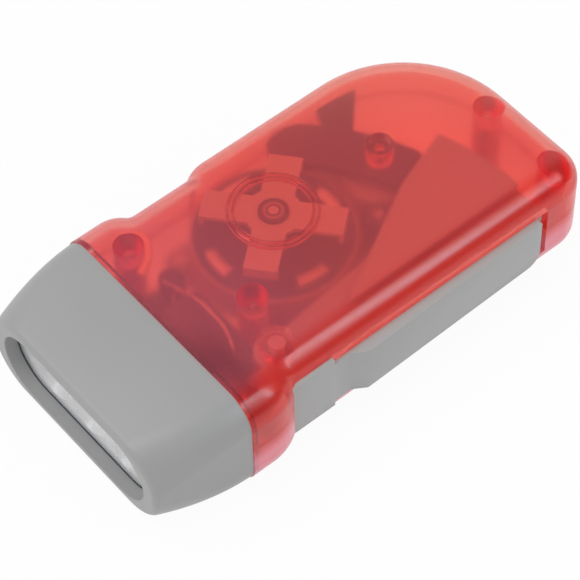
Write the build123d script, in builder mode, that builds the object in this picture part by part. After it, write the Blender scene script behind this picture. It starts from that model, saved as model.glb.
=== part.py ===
from build123d import *

import os
from math import acos, atan2, cos, degrees, hypot, pi, radians, sin, tan

# Squeeze dynamo flashlight. The nose points along -X, the squeeze lever lies on the -Y side,
# +Z is up, and the origin is at the bottom centre. All lengths are in millimetres.

os.makedirs("parts", exist_ok=True)

BASE = (Align.CENTER, Align.CENTER, Align.MIN)

# Whole body
thickness = 24.0
parting_z = 12.0
nose_reach = 51.7
tail_reach = 51.7
joint_x = -31.8
bulge_reach = 26.5
near_reach = 23.9
far_reach = 25.5
waist_reach = 23.9
shell_wall = 1.8
edge_radius = 6.3
near_corner_radius = 6.7
far_corner_radius = 25.0
overrun = 5.0

# Where the outline shifts between bulge, waist and grip
near_shift_start = 4.8
bulge_shift_start = 6.3
near_shift_x = joint_x + near_shift_start
near_shift_run = 7.5
bulge_shift_x = joint_x + bulge_shift_start
bulge_shift_run = 6.0
waist_end_x = -7.2
waist_shift_run = 5.0
convex_share = 0.88

# Fits
seat_gap = 0.1
running_gap = 0.3
pin_gap = 0.03

# Dynamo centre and lever pivot
dynamo_x = 0.0
dynamo_y = 6.3
pivot_from_joint = 13.6
pivot_from_side = 7.4
pivot_x = joint_x + pivot_from_joint
pivot_y = pivot_from_side - near_reach

# Gear train
diameter_per_tooth = 0.5
pressure_angle = 25.0
addendum_share = 0.8
dedendum_share = 1.05
backlash = 0.12
sector_teeth = 183
first_pinion_teeth = 10
first_wheel_teeth = 28
second_pinion_teeth = 12
output_teeth = 68
rotor_pinion_teeth = 12
sector_aim = 27.0
lever_swing = 20.0


def pitch_radius(teeth):
    """Pitch radius of a gear with this many teeth."""
    return diameter_per_tooth * teeth / 2


def tip_radius(teeth):
    """Outer radius of a gear with this many teeth."""
    return pitch_radius(teeth) + addendum_share * diameter_per_tooth


def root_radius(teeth):
    """Radius at the bottom of the tooth gaps."""
    return pitch_radius(teeth) - dedendum_share * diameter_per_tooth


def polar(radius, angle, centre=(0, 0)):
    """Point at a radius and an angle in degrees about a centre."""
    return (centre[0] + radius * cos(radians(angle)), centre[1] + radius * sin(radians(angle)))


# Gear centres follow from the tooth counts
dynamo = (dynamo_x, dynamo_y)
pivot = (pivot_x, pivot_y)
first_centre = polar(pitch_radius(sector_teeth) + pitch_radius(first_pinion_teeth), sector_aim, pivot)
first_second_reach = pitch_radius(first_wheel_teeth) + pitch_radius(second_pinion_teeth)
second_rotor_reach = pitch_radius(output_teeth) + pitch_radius(rotor_pinion_teeth)
rotor_first_reach = hypot(first_centre[0] - dynamo_x, first_centre[1] - dynamo_y)
rotor_first_angle = degrees(atan2(first_centre[1] - dynamo_y, first_centre[0] - dynamo_x))
squares = second_rotor_reach**2 + rotor_first_reach**2 - first_second_reach**2
second_turn = degrees(acos(squares / (2 * second_rotor_reach * rotor_first_reach)))
second_centre = polar(second_rotor_reach, rotor_first_angle - second_turn, dynamo)
second_aim = degrees(atan2(second_centre[1] - first_centre[1], second_centre[0] - first_centre[0]))
rotor_aim = degrees(atan2(dynamo_y - second_centre[1], dynamo_x - second_centre[0]))
print("first gear centre", [round(value, 4) for value in first_centre])
print("second gear centre", [round(value, 4) for value in second_centre])


def shift_arcs(rise, run):
    """Angle, outer radius and inner radius of two opposed arcs that shift a line sideways."""
    turn = 2 * atan2(rise, run)
    both = run / sin(turn)
    return degrees(turn), both * convex_share, both * (1 - convex_share)


def body_face(front_x):
    """Outline of the body seen from above, cut off straight at front_x."""
    near_turn, near_outer, near_inner = shift_arcs(bulge_reach - near_reach, near_shift_run)
    step_turn, step_outer, step_inner = shift_arcs(far_reach - waist_reach, waist_shift_run)
    far_turn, far_outer, far_inner = shift_arcs(bulge_reach - waist_reach, bulge_shift_run)
    with BuildSketch() as face:
        with BuildLine():
            near_bulge = Line((front_x, -bulge_reach), (near_shift_x, -bulge_reach))
            near_out = JernArc(near_bulge @ 1, near_bulge % 1, near_outer, near_turn)
            near_in = JernArc(near_out @ 1, near_out % 1, near_inner, -near_turn)
            near_side = Line(near_in @ 1, (tail_reach - near_corner_radius, -near_reach))
            near_corner = JernArc(near_side @ 1, near_side % 1, near_corner_radius, 90)
            tail_side = Line(near_corner @ 1, (tail_reach, far_reach - far_corner_radius))
            far_corner = JernArc(tail_side @ 1, tail_side % 1, far_corner_radius, 90)
            far_side = Line(far_corner @ 1, (waist_end_x + waist_shift_run, far_reach))
            step_out = JernArc(far_side @ 1, far_side % 1, step_outer, step_turn)
            step_in = JernArc(step_out @ 1, step_out % 1, step_inner, -step_turn)
            waist = Line(step_in @ 1, (bulge_shift_x + bulge_shift_run, waist_reach))
            far_in = JernArc(waist @ 1, waist % 1, far_inner, -far_turn)
            far_out = JernArc(far_in @ 1, far_in % 1, far_outer, far_turn)
            far_bulge = Line(far_out @ 1, (front_x, bulge_reach))
            Line(far_bulge @ 1, near_bulge @ 0)
        make_face()
    return face.sketch


def body_form(front_x, inset):
    """Rounded body, drawn in by inset all round and cut off straight at front_x."""
    with BuildPart() as form:
        with BuildSketch(Plane.XY.offset(inset)):
            add(body_face(front_x - overrun))
            if inset > 0:
                offset(amount=-inset)
        extrude(amount=thickness - 2 * inset)
        rims = form.edges().group_by(Axis.Z)[0].sort_by(Axis.X)[1:]
        rims += form.edges().group_by(Axis.Z)[-1].sort_by(Axis.X)[1:]
        fillet(rims, radius=edge_radius - inset)
        split(bisect_by=Plane.YZ.offset(front_x), keep=Keep.TOP)
    return form.part


# Neck of the shells, which slides into the nose bezel
neck_length = 3.5
neck_inset = 2.4
neck_wall = 1.6
neck_root = 1.5

body_outer = body_form(joint_x, 0)
neck_outer = body_form(joint_x - neck_length, neck_inset)
body_cavity = body_form(joint_x + neck_root, shell_wall)
neck_cavity = body_form(joint_x - neck_length - overrun, neck_inset + neck_wall)

# Lever slot in the near wall
slot_margin = 6.0
tall_slot_margin = 4.75
slot_from_tail = 11.2
notch_from_pivot = 6.8
slot_low = slot_margin
slot_high = thickness - slot_margin
slot_rear_x = tail_reach - slot_from_tail
tall_slot_low = tall_slot_margin
tall_slot_high = thickness - tall_slot_margin
notch_x = pivot_x + notch_from_pivot
lever_front_radius = 8.4
slot_front_gap = 0.35

# Screw posts stand at the same four places in both shells
tail_screw_inset = 5.6
tail_screw_drop = 1.6
near_screw_inset = 5.3
front_screw_setback = 6.6
front_screw_inset = 7.0
column_setback = 2.9
column_rise = 10.2
tail_screw_x = tail_reach - tail_screw_inset
tail_screw_far_y = far_reach - far_corner_radius - tail_screw_drop
tail_screw_near_y = near_screw_inset - near_reach
front_screw_x = joint_x + front_screw_setback
front_screw_y = waist_reach - front_screw_inset
column_screw_x = pivot_x + column_setback
column_screw_y = pivot_y + column_rise
post_radius = 2.9
screw_radius = 1.0
screw_head_radius = 1.9
screw_head_height = 1.6
screw_drive_radius = 0.9
screw_drive_depth = 0.9
screw_seat_z = 6.0
screw_length = 11.5
screw_tip_z = screw_seat_z + screw_length
screw_places = [
    (tail_screw_x, tail_screw_far_y),
    (tail_screw_x, tail_screw_near_y),
    (front_screw_x, front_screw_y),
    (column_screw_x, column_screw_y),
]

# Lever pivot pin and its two bosses
pivot_pin_radius = 1.6
pivot_boss_radius = 3.3
pivot_boss_margin = 4.6
pivot_pin_margin = 2.6
pivot_boss_low_top = pivot_boss_margin
pivot_boss_high_base = thickness - pivot_boss_margin
pivot_pin_low = pivot_pin_margin
pivot_pin_high = thickness - pivot_pin_margin

# Levels of the works, from the floor upwards
output_low = 2.6
output_web_top = 3.2
output_high = 4.4
ratchet_high = 4.8
plate_low = 5.2
plate_high = 6.4
second_wheel_low = 11.2
second_wheel_high = 13.4
web_low = 14.2
web_high = 15.8
sector_high = 17.4

# Cross plate, its bush and the ring ribs that hold it under the upper shell
cross_drop = 2.6
cross_top = thickness - cross_drop
cross_plate_thickness = 0.8
cross_hub_radius = 5.4
cross_tip_radius = 13.4
cross_arm_width = 6.3
cross_lip = 1.6
cross_bend = 1.2
cross_aim = 40.0
cross_arms = 4
bush_radius = 2.9
bush_low = 19.8
bush_high = 21.9
rib_wall = 0.5
inner_rib_radius = 7.2
outer_rib_radius = 8.2

# Axles of the gears
axle_radius = 1.0
first_boss_radius = 2.7
first_boss_base = 18.2
first_boss_bore_top = 20.6
first_axle_top = 17.2
second_boss_radius = 2.2
second_boss_top = 2.4
second_axle_top = 13.9
axle_low = 1.0

# Cell stack across the front of the body
cell_radius = 5.8
cell_height = 5.3
cell_gap = 0.1
cell_count = 3
cell_rim = 0.5
stack_setback = 7.5
stack_x = joint_x + stack_setback
stack_near_y = -11.8
stack_z = parting_z
sleeve_wall = 0.25
sleeve_gap = 0.05
saddle_width = 1.6
saddle_top = 9.0
saddle_inset = 3.0
stack_length = cell_count * cell_height + (cell_count - 1) * cell_gap
stack_far_y = stack_near_y + stack_length
sleeve_radius = cell_radius + sleeve_gap + sleeve_wall

# Rectifier board beyond the cells
board_low = 9.0
board_thickness = 1.2
board_length = 12.0
board_width = 7.0
board_setback = 7.4
board_gap = 2.1
board_x = joint_x + board_setback
board_y = stack_far_y + board_gap + board_width / 2
board_post_radius = 1.4
board_post_inset = 1.8
board_high = board_low + board_thickness

# Posts and screws of the gear plate
plate_post_radius = 2.2
plate_ear_radius = 3.0
plate_screw_radius = 0.8
plate_screw_head_radius = 1.6
plate_screw_head_height = 0.9
plate_screw_low = 2.4
dynamo_post_reach = 17.8
far_post_angle = 140.0
near_post_angle = 242.0
tail_post_reach = 20.2
tail_post_angle = -2.7
side_post_reach = 22.4
side_post_angle = 55.0
plate_posts = [
    polar(dynamo_post_reach, far_post_angle, dynamo),
    polar(dynamo_post_reach, near_post_angle, dynamo),
    polar(tail_post_reach, tail_post_angle, second_centre),
    polar(side_post_reach, side_post_angle, second_centre),
]

# Lock slider in the floor, drawn at its free place
lock_travel = 2.5
lock_from_slot_end = 3.3
lock_from_side = 9.3
lock_x = slot_rear_x - lock_from_slot_end
lock_y = lock_from_side - near_reach
lock_pad_length = 4.8
lock_pad_width = 4.0
lock_pad_low = 0.3
lock_flange = 0.8
lock_flange_height = 0.7
lock_play = 0.2
lock_post_length = 2.0
lock_post_width = 1.4
lock_post_offset = 2.0
lock_post_y = lock_y - lock_post_offset
lock_post_top = 8.2

# Upper shell posts and ribs, trimmed to the outside of the body
with BuildPart() as upper_posts:
    with Locations(*[(x, y, parting_z) for x, y in screw_places]):
        Cylinder(post_radius, thickness - parting_z, align=BASE)
    with Locations((*pivot, pivot_boss_high_base)):
        Cylinder(pivot_boss_radius, thickness - pivot_boss_high_base, align=BASE)
    with Locations((*first_centre, first_boss_base)):
        Cylinder(first_boss_radius, thickness - first_boss_base, align=BASE)
    with BuildSketch(Plane.XY.offset(cross_top)):
        with Locations(dynamo):
            Circle(outer_rib_radius + rib_wall)
            Circle(outer_rib_radius, mode=Mode.SUBTRACT)
            Circle(inner_rib_radius + rib_wall)
            Circle(inner_rib_radius, mode=Mode.SUBTRACT)
    extrude(amount=thickness - cross_top)
    with Locations(*[(x, y, parting_z) for x, y in screw_places]):
        Cylinder(screw_radius + pin_gap, screw_tip_z + running_gap - parting_z, align=BASE, mode=Mode.SUBTRACT)
    with Locations((*pivot, pivot_boss_high_base)):
        pin_depth = pivot_pin_high + running_gap - pivot_boss_high_base
        Cylinder(pivot_pin_radius + pin_gap, pin_depth, align=BASE, mode=Mode.SUBTRACT)
    with Locations((*first_centre, first_boss_base)):
        Cylinder(axle_radius, first_boss_bore_top - first_boss_base, align=BASE, mode=Mode.SUBTRACT)
    add(body_outer, mode=Mode.INTERSECT)

# Lower shell posts, cell saddles and board posts, trimmed to the outside of the body
board_posts = [
    (board_x - board_length / 2 + board_post_inset, board_y),
    (board_x + board_length / 2 - board_post_inset, board_y),
]
saddle_places = [stack_near_y + saddle_inset, stack_far_y - saddle_inset]
with BuildPart() as lower_posts:
    with Locations(*screw_places):
        Cylinder(post_radius, parting_z, align=BASE)
    with Locations(pivot):
        Cylinder(pivot_boss_radius, pivot_boss_low_top, align=BASE)
    with Locations(second_centre):
        Cylinder(second_boss_radius, second_boss_top, align=BASE)
    with Locations(*plate_posts):
        Cylinder(plate_post_radius, plate_low, align=BASE)
    with Locations(*board_posts):
        Cylinder(board_post_radius, board_low, align=BASE)
    with Locations(*[(stack_x, y, 0) for y in saddle_places]):
        Box(2 * sleeve_radius, saddle_width, saddle_top, align=BASE)
    with BuildSketch(Plane.XZ.offset(-stack_far_y - overrun)):
        with Locations((stack_x, stack_z)):
            Circle(sleeve_radius + seat_gap)
    extrude(amount=stack_length + 2 * overrun, mode=Mode.SUBTRACT)
    with Locations((*pivot, pivot_pin_low)):
        Cylinder(pivot_pin_radius + pin_gap, thickness, align=BASE, mode=Mode.SUBTRACT)
    with Locations(*[(x, y, plate_screw_low) for x, y in plate_posts]):
        Cylinder(plate_screw_radius + pin_gap, thickness, align=BASE, mode=Mode.SUBTRACT)
    add(body_outer, mode=Mode.INTERSECT)

# Space that the lever and its swing take out of the near wall
with BuildPart() as lever_space:
    slot_length = slot_rear_x - pivot_x
    with BuildSketch(Plane.XY.offset(slot_low)):
        with Locations((pivot_x, -bulge_reach)):
            Rectangle(slot_length, bulge_reach + pivot_y, align=(Align.MIN, Align.MIN))
    extrude(amount=slot_high - slot_low)
    with BuildSketch(Plane.XY.offset(tall_slot_low)):
        with Locations(pivot):
            Circle(lever_front_radius + slot_front_gap)
        with Locations((pivot_x, pivot_y)):
            Rectangle(notch_x - pivot_x, bulge_reach, align=(Align.MIN, Align.MAX))
        with Locations((notch_x, pivot_y)):
            Rectangle(bulge_reach, 2 * bulge_reach, align=(Align.MIN, Align.CENTER), mode=Mode.SUBTRACT)
        with Locations(pivot):
            Rectangle(2 * bulge_reach, bulge_reach, align=(Align.CENTER, Align.MIN), mode=Mode.SUBTRACT)
    extrude(amount=tall_slot_high - tall_slot_low)

# Upper shell
with BuildPart() as upper_shell:
    add(body_outer)
    add(neck_outer)
    add(body_cavity, mode=Mode.SUBTRACT)
    add(neck_cavity, mode=Mode.SUBTRACT)
    add(lever_space.part, mode=Mode.SUBTRACT)
    add(upper_posts.part)
    split(bisect_by=Plane.XY.offset(parting_z), keep=Keep.TOP)
upper_shell.part.label = "upper_shell"
export_step(upper_shell.part, "parts/upper_shell.step")

# Lower shell, with counterbored screws from below and the window of the lock slider
with BuildPart() as lower_shell:
    add(body_outer)
    add(neck_outer)
    add(body_cavity, mode=Mode.SUBTRACT)
    add(neck_cavity, mode=Mode.SUBTRACT)
    add(lever_space.part, mode=Mode.SUBTRACT)
    add(lower_posts.part)
    split(bisect_by=Plane.XY.offset(parting_z), keep=Keep.BOTTOM)
    with Locations(*screw_places):
        Cylinder(screw_radius + seat_gap, parting_z, align=BASE, mode=Mode.SUBTRACT)
        Cylinder(screw_head_radius + seat_gap, screw_seat_z, align=BASE, mode=Mode.SUBTRACT)
    with Locations((*second_centre, axle_low)):
        Cylinder(axle_radius + pin_gap, second_boss_top - axle_low, align=BASE, mode=Mode.SUBTRACT)
    with Locations((lock_x - lock_travel / 2, lock_y, 0)):
        window_length = lock_pad_length + lock_travel + 2 * lock_play
        Box(window_length, lock_pad_width + 2 * lock_play, 2 * shell_wall, mode=Mode.SUBTRACT)
lower_shell.part.label = "lower_shell"
export_step(lower_shell.part, "parts/lower_shell.step")

# Shell screws, driven from below
with BuildPart() as shell_screws:
    with Locations(*[(x, y, screw_seat_z) for x, y in screw_places]):
        Cylinder(screw_radius, screw_tip_z - screw_seat_z, align=BASE)
    with Locations(*[(x, y, screw_seat_z - screw_head_height) for x, y in screw_places]):
        Cylinder(screw_head_radius, screw_head_height, align=BASE)
        Cylinder(screw_drive_radius, screw_drive_depth, align=BASE, mode=Mode.SUBTRACT)
shell_screws.part.label = "shell_screws"
export_step(shell_screws.part, "parts/shell_screws.step")

# Nose bezel
bezel_wall = 2.0
bezel_step = 0.25
nose_width_drop = 2.4
nose_width_power = 1.6
nose_height_drop = 2.5
nose_corner_gain = 3.0
nose_round = 1.5
bezel_sections = 3
nose_rim = 3.8
nose_brow = 1.8
front_wall = 3.0
lens_lap = 1.3
lens_step = 0.8
lens_thickness = 1.2
pocket_depth = 5.0
pocket_wall_depth = 2.5
opening_round = 0.25
opening_half_width = bulge_reach - nose_width_drop - nose_rim
opening_half_height = thickness / 2 - nose_height_drop - nose_brow
lens_seat_x = front_wall - nose_reach
lens_half_width = opening_half_width + lens_lap
lens_half_height = opening_half_height + lens_step
pocket_rear_x = lens_seat_x + pocket_depth
bezel_cavity_x = lens_seat_x + pocket_wall_depth
nose_length = nose_reach + joint_x


def nose_section(reach, inset):
    """Half width, half height and corner radius of the nose at this distance from the joint."""
    curve = (reach / nose_length) ** 2
    width = bulge_reach - nose_width_drop * (reach / nose_length) ** nose_width_power - inset
    height = thickness / 2 - nose_height_drop * curve - inset
    return width, height, edge_radius + nose_corner_gain * curve - inset


def nose_form(rear_x, front_x, inset):
    """Tapering nose between two planes, drawn in by inset all round."""
    with BuildPart() as form:
        for step in range(bezel_sections + 1):
            x = rear_x + (front_x - rear_x) * step / bezel_sections
            width, height, corner = nose_section(abs(joint_x - x), inset)
            with BuildSketch(Plane.YZ.offset(x)):
                with Locations((0, thickness / 2)):
                    RectangleRounded(2 * width, 2 * height, corner)
        loft()
    return form.part


def slot_form(rear_x, front_x, half_width, half_height):
    """Block with a long round-ended outline, from rear_x forward to front_x."""
    with BuildPart() as form:
        with BuildSketch(Plane.YZ.offset(front_x)):
            with Locations((0, thickness / 2)):
                SlotOverall(2 * half_width, 2 * half_height)
        extrude(amount=rear_x - front_x)
    return form.part


with BuildPart() as nose_bezel:
    add(nose_form(joint_x, -nose_reach, bezel_step))
    fillet(nose_bezel.faces().sort_by(Axis.X)[0].outer_wire().edges(), radius=nose_round)
    add(slot_form(lens_seat_x + overrun, -nose_reach - overrun, opening_half_width, opening_half_height), mode=Mode.SUBTRACT)
    fillet(nose_bezel.faces().sort_by(Axis.X)[0].inner_wires()[0].edges(), radius=opening_round)
    add(slot_form(pocket_rear_x, lens_seat_x, lens_half_width + seat_gap, lens_half_height + seat_gap), mode=Mode.SUBTRACT)
    add(nose_form(joint_x, bezel_cavity_x, bezel_wall), mode=Mode.SUBTRACT)
nose_bezel.part.label = "nose_bezel"
export_step(nose_bezel.part, "parts/nose_bezel.step")

# Front lens
with BuildPart() as front_lens:
    add(slot_form(lens_seat_x + lens_thickness, lens_seat_x, lens_half_width, lens_half_height))
front_lens.part.label = "front_lens"
export_step(front_lens.part, "parts/front_lens.step")

# Reflector with three cups, and the lamps that stand in it
lamp_count = 3
lamp_pitch_share = 0.51
lamp_pitch = lamp_pitch_share * opening_half_width
reflector_depth = 7.2
lamp_radius = 2.5
lamp_flange_radius = 2.9
lamp_flange_height = 1.0
lamp_length = 5.2
lamp_board_thickness = 1.4
lamp_board_inset = 2.7
lamp_board_brow = 1.9
lamp_board_half_width = lens_half_width - lamp_board_inset
lamp_board_half_height = lens_half_height - lamp_board_brow
cup_land = 0.2
cup_brow = 1.7
cup_half_width = lamp_pitch / 2 - cup_land
cup_half_height = lens_half_height - cup_brow
cup_depth = 5.2
cup_stretch_share = 0.55
reflector_front_x = lens_seat_x + lens_thickness
lamp_board_x = reflector_front_x + reflector_depth
lamp_ys = [lamp_pitch * (index - (lamp_count - 1) / 2) for index in range(lamp_count)]
with BuildPart() as reflector:
    add(slot_form(lamp_board_x, reflector_front_x, lens_half_width, lens_half_height))
    for lamp_y in lamp_ys:
        with BuildSketch(Plane.YZ.offset(reflector_front_x)):
            with Locations((lamp_y, thickness / 2)):
                Ellipse(cup_half_width, cup_half_height)
        with BuildSketch(Plane.YZ.offset(reflector_front_x + cup_depth * (1 - cup_stretch_share))):
            with Locations((lamp_y, thickness / 2)):
                Ellipse((cup_half_width + lamp_radius) / 2 + seat_gap, (cup_half_height + lamp_radius) / 2 + seat_gap)
        with BuildSketch(Plane.YZ.offset(reflector_front_x + cup_depth)):
            with Locations((lamp_y, thickness / 2)):
                Circle(lamp_radius + seat_gap)
        loft(mode=Mode.SUBTRACT)
        with BuildSketch(Plane.YZ.offset(reflector_front_x)):
            with Locations((lamp_y, thickness / 2)):
                Circle(lamp_radius + seat_gap)
        extrude(amount=lamp_board_x - reflector_front_x, mode=Mode.SUBTRACT)
        with BuildSketch(Plane.YZ.offset(lamp_board_x - lamp_flange_height - seat_gap)):
            with Locations((lamp_y, thickness / 2)):
                Circle(lamp_flange_radius + seat_gap)
        extrude(amount=lamp_flange_height + seat_gap, mode=Mode.SUBTRACT)
reflector.part.label = "reflector"
export_step(reflector.part, "parts/reflector.step")

# Lamps: flange, body and dome
with BuildPart() as lamps:
    for lamp_y in lamp_ys:
        with BuildSketch(Plane.YZ.offset(lamp_board_x)):
            with Locations((lamp_y, thickness / 2)):
                Circle(lamp_flange_radius)
        extrude(amount=-lamp_flange_height)
        with BuildSketch(Plane.YZ.offset(lamp_board_x)):
            with Locations((lamp_y, thickness / 2)):
                Circle(lamp_radius)
        extrude(amount=lamp_radius - lamp_length)
        with Locations((lamp_board_x + lamp_radius - lamp_length, lamp_y, thickness / 2)):
            Sphere(lamp_radius)
lamps.part.label = "lamps"
export_step(lamps.part, "parts/lamps.step")

# Lamp legs, two for each lamp, through the board
leg_side = 0.5
leg_pitch = 2.54
leg_rear = 1.6
with BuildPart() as lamp_legs:
    legs = [(y + side * leg_pitch / 2, thickness / 2) for y in lamp_ys for side in (-1, 1)]
    with BuildSketch(Plane.YZ.offset(lamp_board_x)):
        with Locations(*legs):
            Rectangle(leg_side, leg_side)
    extrude(amount=lamp_board_thickness + leg_rear)
lamp_legs.part.label = "lamp_legs"
export_step(lamp_legs.part, "parts/lamp_legs.step")

# Lamp board
with BuildPart() as lamp_board:
    with BuildSketch(Plane.YZ.offset(lamp_board_x)):
        with Locations((0, thickness / 2)):
            Rectangle(2 * lamp_board_half_width, 2 * lamp_board_half_height)
        with Locations(*legs):
            Rectangle(leg_side, leg_side, mode=Mode.SUBTRACT)
    extrude(amount=lamp_board_thickness)
lamp_board.part.label = "lamp_board"
export_step(lamp_board.part, "parts/lamp_board.step")

# Cells, standing side by side along Y, each with a shallow contact step
with BuildPart() as cells:
    for index in range(cell_count):
        far_y = stack_far_y - index * (cell_height + cell_gap)
        with BuildSketch(Plane.XZ.offset(-far_y)):
            with Locations((stack_x, stack_z)):
                Circle(cell_radius)
        extrude(amount=cell_height)
        with BuildSketch(Plane.XZ.offset(-far_y)):
            with Locations((stack_x, stack_z)):
                Circle(cell_radius)
                Circle(cell_radius - 2 * cell_rim, mode=Mode.SUBTRACT)
        extrude(amount=cell_rim, mode=Mode.SUBTRACT)
cells.part.label = "cells"
export_step(cells.part, "parts/cells.step")

# Shrink sleeve round the cells
with BuildPart() as cell_sleeve:
    with BuildSketch(Plane.XZ.offset(-stack_far_y)):
        with Locations((stack_x, stack_z)):
            Circle(sleeve_radius)
            Circle(sleeve_radius - sleeve_wall, mode=Mode.SUBTRACT)
    extrude(amount=stack_length)
cell_sleeve.part.label = "cell_sleeve"
export_step(cell_sleeve.part, "parts/cell_sleeve.step")

# Contact tabs at both ends of the stack
tab_thickness = 0.2
tab_width = 4.0
tab_height = 7.0
with BuildPart() as cell_tabs:
    for tab_y in (stack_far_y + tab_thickness, stack_near_y):
        with BuildSketch(Plane.XZ.offset(-tab_y)):
            with Locations((stack_x, stack_z)):
                Rectangle(tab_width, tab_height)
        extrude(amount=tab_thickness)
cell_tabs.part.label = "cell_tabs"
export_step(cell_tabs.part, "parts/cell_tabs.step")

# Rectifier board
with BuildPart() as rectifier_board:
    with Locations((board_x, board_y, board_low)):
        Box(board_length, board_width, board_thickness, align=BASE)
rectifier_board.part.label = "rectifier_board"
export_step(rectifier_board.part, "parts/rectifier_board.step")

# Diodes lying on the board, each with its two bent leads
diode_radius = 0.75
diode_length = 3.6
diode_pitch = 1.7
diode_count = 4
diode_from_edge = 3.2
diode_x = board_x - board_length / 2 + diode_from_edge
lead_radius = 0.2
lead_out = 0.9
with BuildPart() as diodes:
    for index in range(diode_count):
        diode_y = board_y + diode_pitch * (index - (diode_count - 1) / 2)
        diode_z = board_high + diode_radius
        with BuildSketch(Plane.YZ.offset(diode_x - diode_length / 2)):
            with Locations((diode_y, diode_z)):
                Circle(diode_radius)
        extrude(amount=diode_length)
        lead_span = diode_length / 2 + lead_out
        for side in (-1, 1):
            with BuildLine() as lead:
                FilletPolyline(
                    (diode_x + side * diode_length / 2, diode_y, diode_z),
                    (diode_x + side * lead_span, diode_y, diode_z),
                    (diode_x + side * lead_span, diode_y, board_high),
                    radius=2 * lead_radius,
                )
            with BuildSketch(Plane(origin=lead.line @ 0, z_dir=lead.line % 0)):
                Circle(lead_radius)
            sweep(path=lead.line)
diodes.part.label = "diodes"
export_step(diodes.part, "parts/diodes.step")

# Smoothing capacitor
capacitor_radius = 2.5
capacitor_height = 6.0
capacitor_from_edge = 2.8
capacitor_x = board_x + board_length / 2 - capacitor_from_edge
capacitor_round = 0.4
with BuildPart() as capacitor:
    with Locations((capacitor_x, board_y, board_high)):
        Cylinder(capacitor_radius, capacitor_height, align=BASE)
    fillet(capacitor.edges().filter_by(GeomType.CIRCLE), radius=capacitor_round)
capacitor.part.label = "capacitor"
export_step(capacitor.part, "parts/capacitor.step")

# Gear plate: flat hull of its four ears, with a post under the first gear
first_post_radius = 2.0
hub_radius = 2.6
hub_gap = 0.1
lower_bush_radius = 2.5
with BuildPart() as gear_plate:
    with BuildSketch(Plane.XY.offset(plate_low)):
        with Locations(*plate_posts):
            Circle(plate_ear_radius)
        make_hull()
    extrude(amount=plate_high - plate_low)
    with Locations((*first_centre, plate_low)):
        Cylinder(first_post_radius, second_wheel_low - running_gap / 2 - plate_low, align=BASE)
        Cylinder(axle_radius, thickness, align=BASE, mode=Mode.SUBTRACT)
    with Locations((*second_centre, plate_low)):
        Cylinder(hub_radius + hub_gap, thickness, align=BASE, mode=Mode.SUBTRACT)
    with Locations((*dynamo, plate_low)):
        Cylinder(lower_bush_radius, thickness, align=BASE, mode=Mode.SUBTRACT)
    with Locations(*[(x, y, plate_low) for x, y in plate_posts]):
        Cylinder(plate_screw_radius + seat_gap, thickness, align=BASE, mode=Mode.SUBTRACT)
gear_plate.part.label = "gear_plate"
export_step(gear_plate.part, "parts/gear_plate.step")

# Screws of the gear plate
with BuildPart() as plate_screws:
    with Locations(*[(x, y, plate_screw_low) for x, y in plate_posts]):
        Cylinder(plate_screw_radius, plate_high - plate_screw_low, align=BASE)
    with Locations(*[(x, y, plate_high) for x, y in plate_posts]):
        Cylinder(plate_screw_head_radius, plate_screw_head_height, align=BASE)
plate_screws.part.label = "plate_screws"
export_step(plate_screws.part, "parts/plate_screws.step")

# Lower bush of the rotor shaft
with BuildPart() as lower_bush:
    with Locations((*dynamo, plate_low)):
        Cylinder(lower_bush_radius, plate_high - plate_low, align=BASE)
        Cylinder(axle_radius + pin_gap, plate_high - plate_low, align=BASE, mode=Mode.SUBTRACT)
lower_bush.part.label = "lower_bush"
export_step(lower_bush.part, "parts/lower_bush.step")

# Cross plate: hub disc and four arms whose tips are bent down
with BuildPart() as cross_plate:
    with BuildSketch(Plane.XY.offset(cross_top - cross_plate_thickness)):
        with Locations(dynamo):
            Circle(cross_hub_radius)
        for index in range(cross_arms):
            angle = cross_aim + index * 360 / cross_arms
            with Locations(Location((*dynamo, 0), (0, 0, angle))):
                Rectangle(cross_tip_radius, cross_arm_width, align=(Align.MIN, Align.CENTER))
    extrude(amount=cross_plate_thickness)
    for index in range(cross_arms):
        angle = cross_aim + index * 360 / cross_arms
        with Locations(Location((*dynamo, cross_top), (0, 0, angle))):
            with Locations((cross_tip_radius, 0, 0)):
                Box(
                    cross_plate_thickness,
                    cross_arm_width,
                    cross_plate_thickness + cross_lip,
                    align=(Align.MAX, Align.CENTER, Align.MAX),
                )
    with Locations((*dynamo, bush_low)):
        Cylinder(bush_radius, thickness, align=BASE, mode=Mode.SUBTRACT)
cross_plate.part.label = "cross_plate"
export_step(cross_plate.part, "parts/cross_plate.step")

# Upper bush of the rotor shaft
with BuildPart() as upper_bush:
    with Locations((*dynamo, bush_low)):
        Cylinder(bush_radius, bush_high - bush_low, align=BASE)
        Cylinder(axle_radius + pin_gap, bush_high - bush_low, align=BASE, mode=Mode.SUBTRACT)
upper_bush.part.label = "upper_bush"
export_step(upper_bush.part, "parts/upper_bush.step")

# Stator: core, bobbin, winding and two claw plates whose claws interleave
core_bore = 2.0
core_radius = 3.6
claw_radius = 12.2
claw_wall = 0.6
claw_count = 4
claw_width = 6.0
claw_end_gap = 0.4
bobbin_wall = 0.6
bobbin_flange_radius = 10.8
winding_radius = 10.3
stator_high = 12.4
coil_wire_aim = 157.5
coil_notch_start = 10.9
coil_notch_width = 2.2
lower_claw_top = plate_high + claw_wall
upper_claw_base = stator_high - claw_wall
with BuildPart() as stator_core:
    with Locations((*dynamo, plate_high)):
        Cylinder(core_radius, stator_high - plate_high, align=BASE)
        Cylinder(core_bore, stator_high - plate_high, align=BASE, mode=Mode.SUBTRACT)
stator_core.part.label = "stator_core"
export_step(stator_core.part, "parts/stator_core.step")


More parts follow.
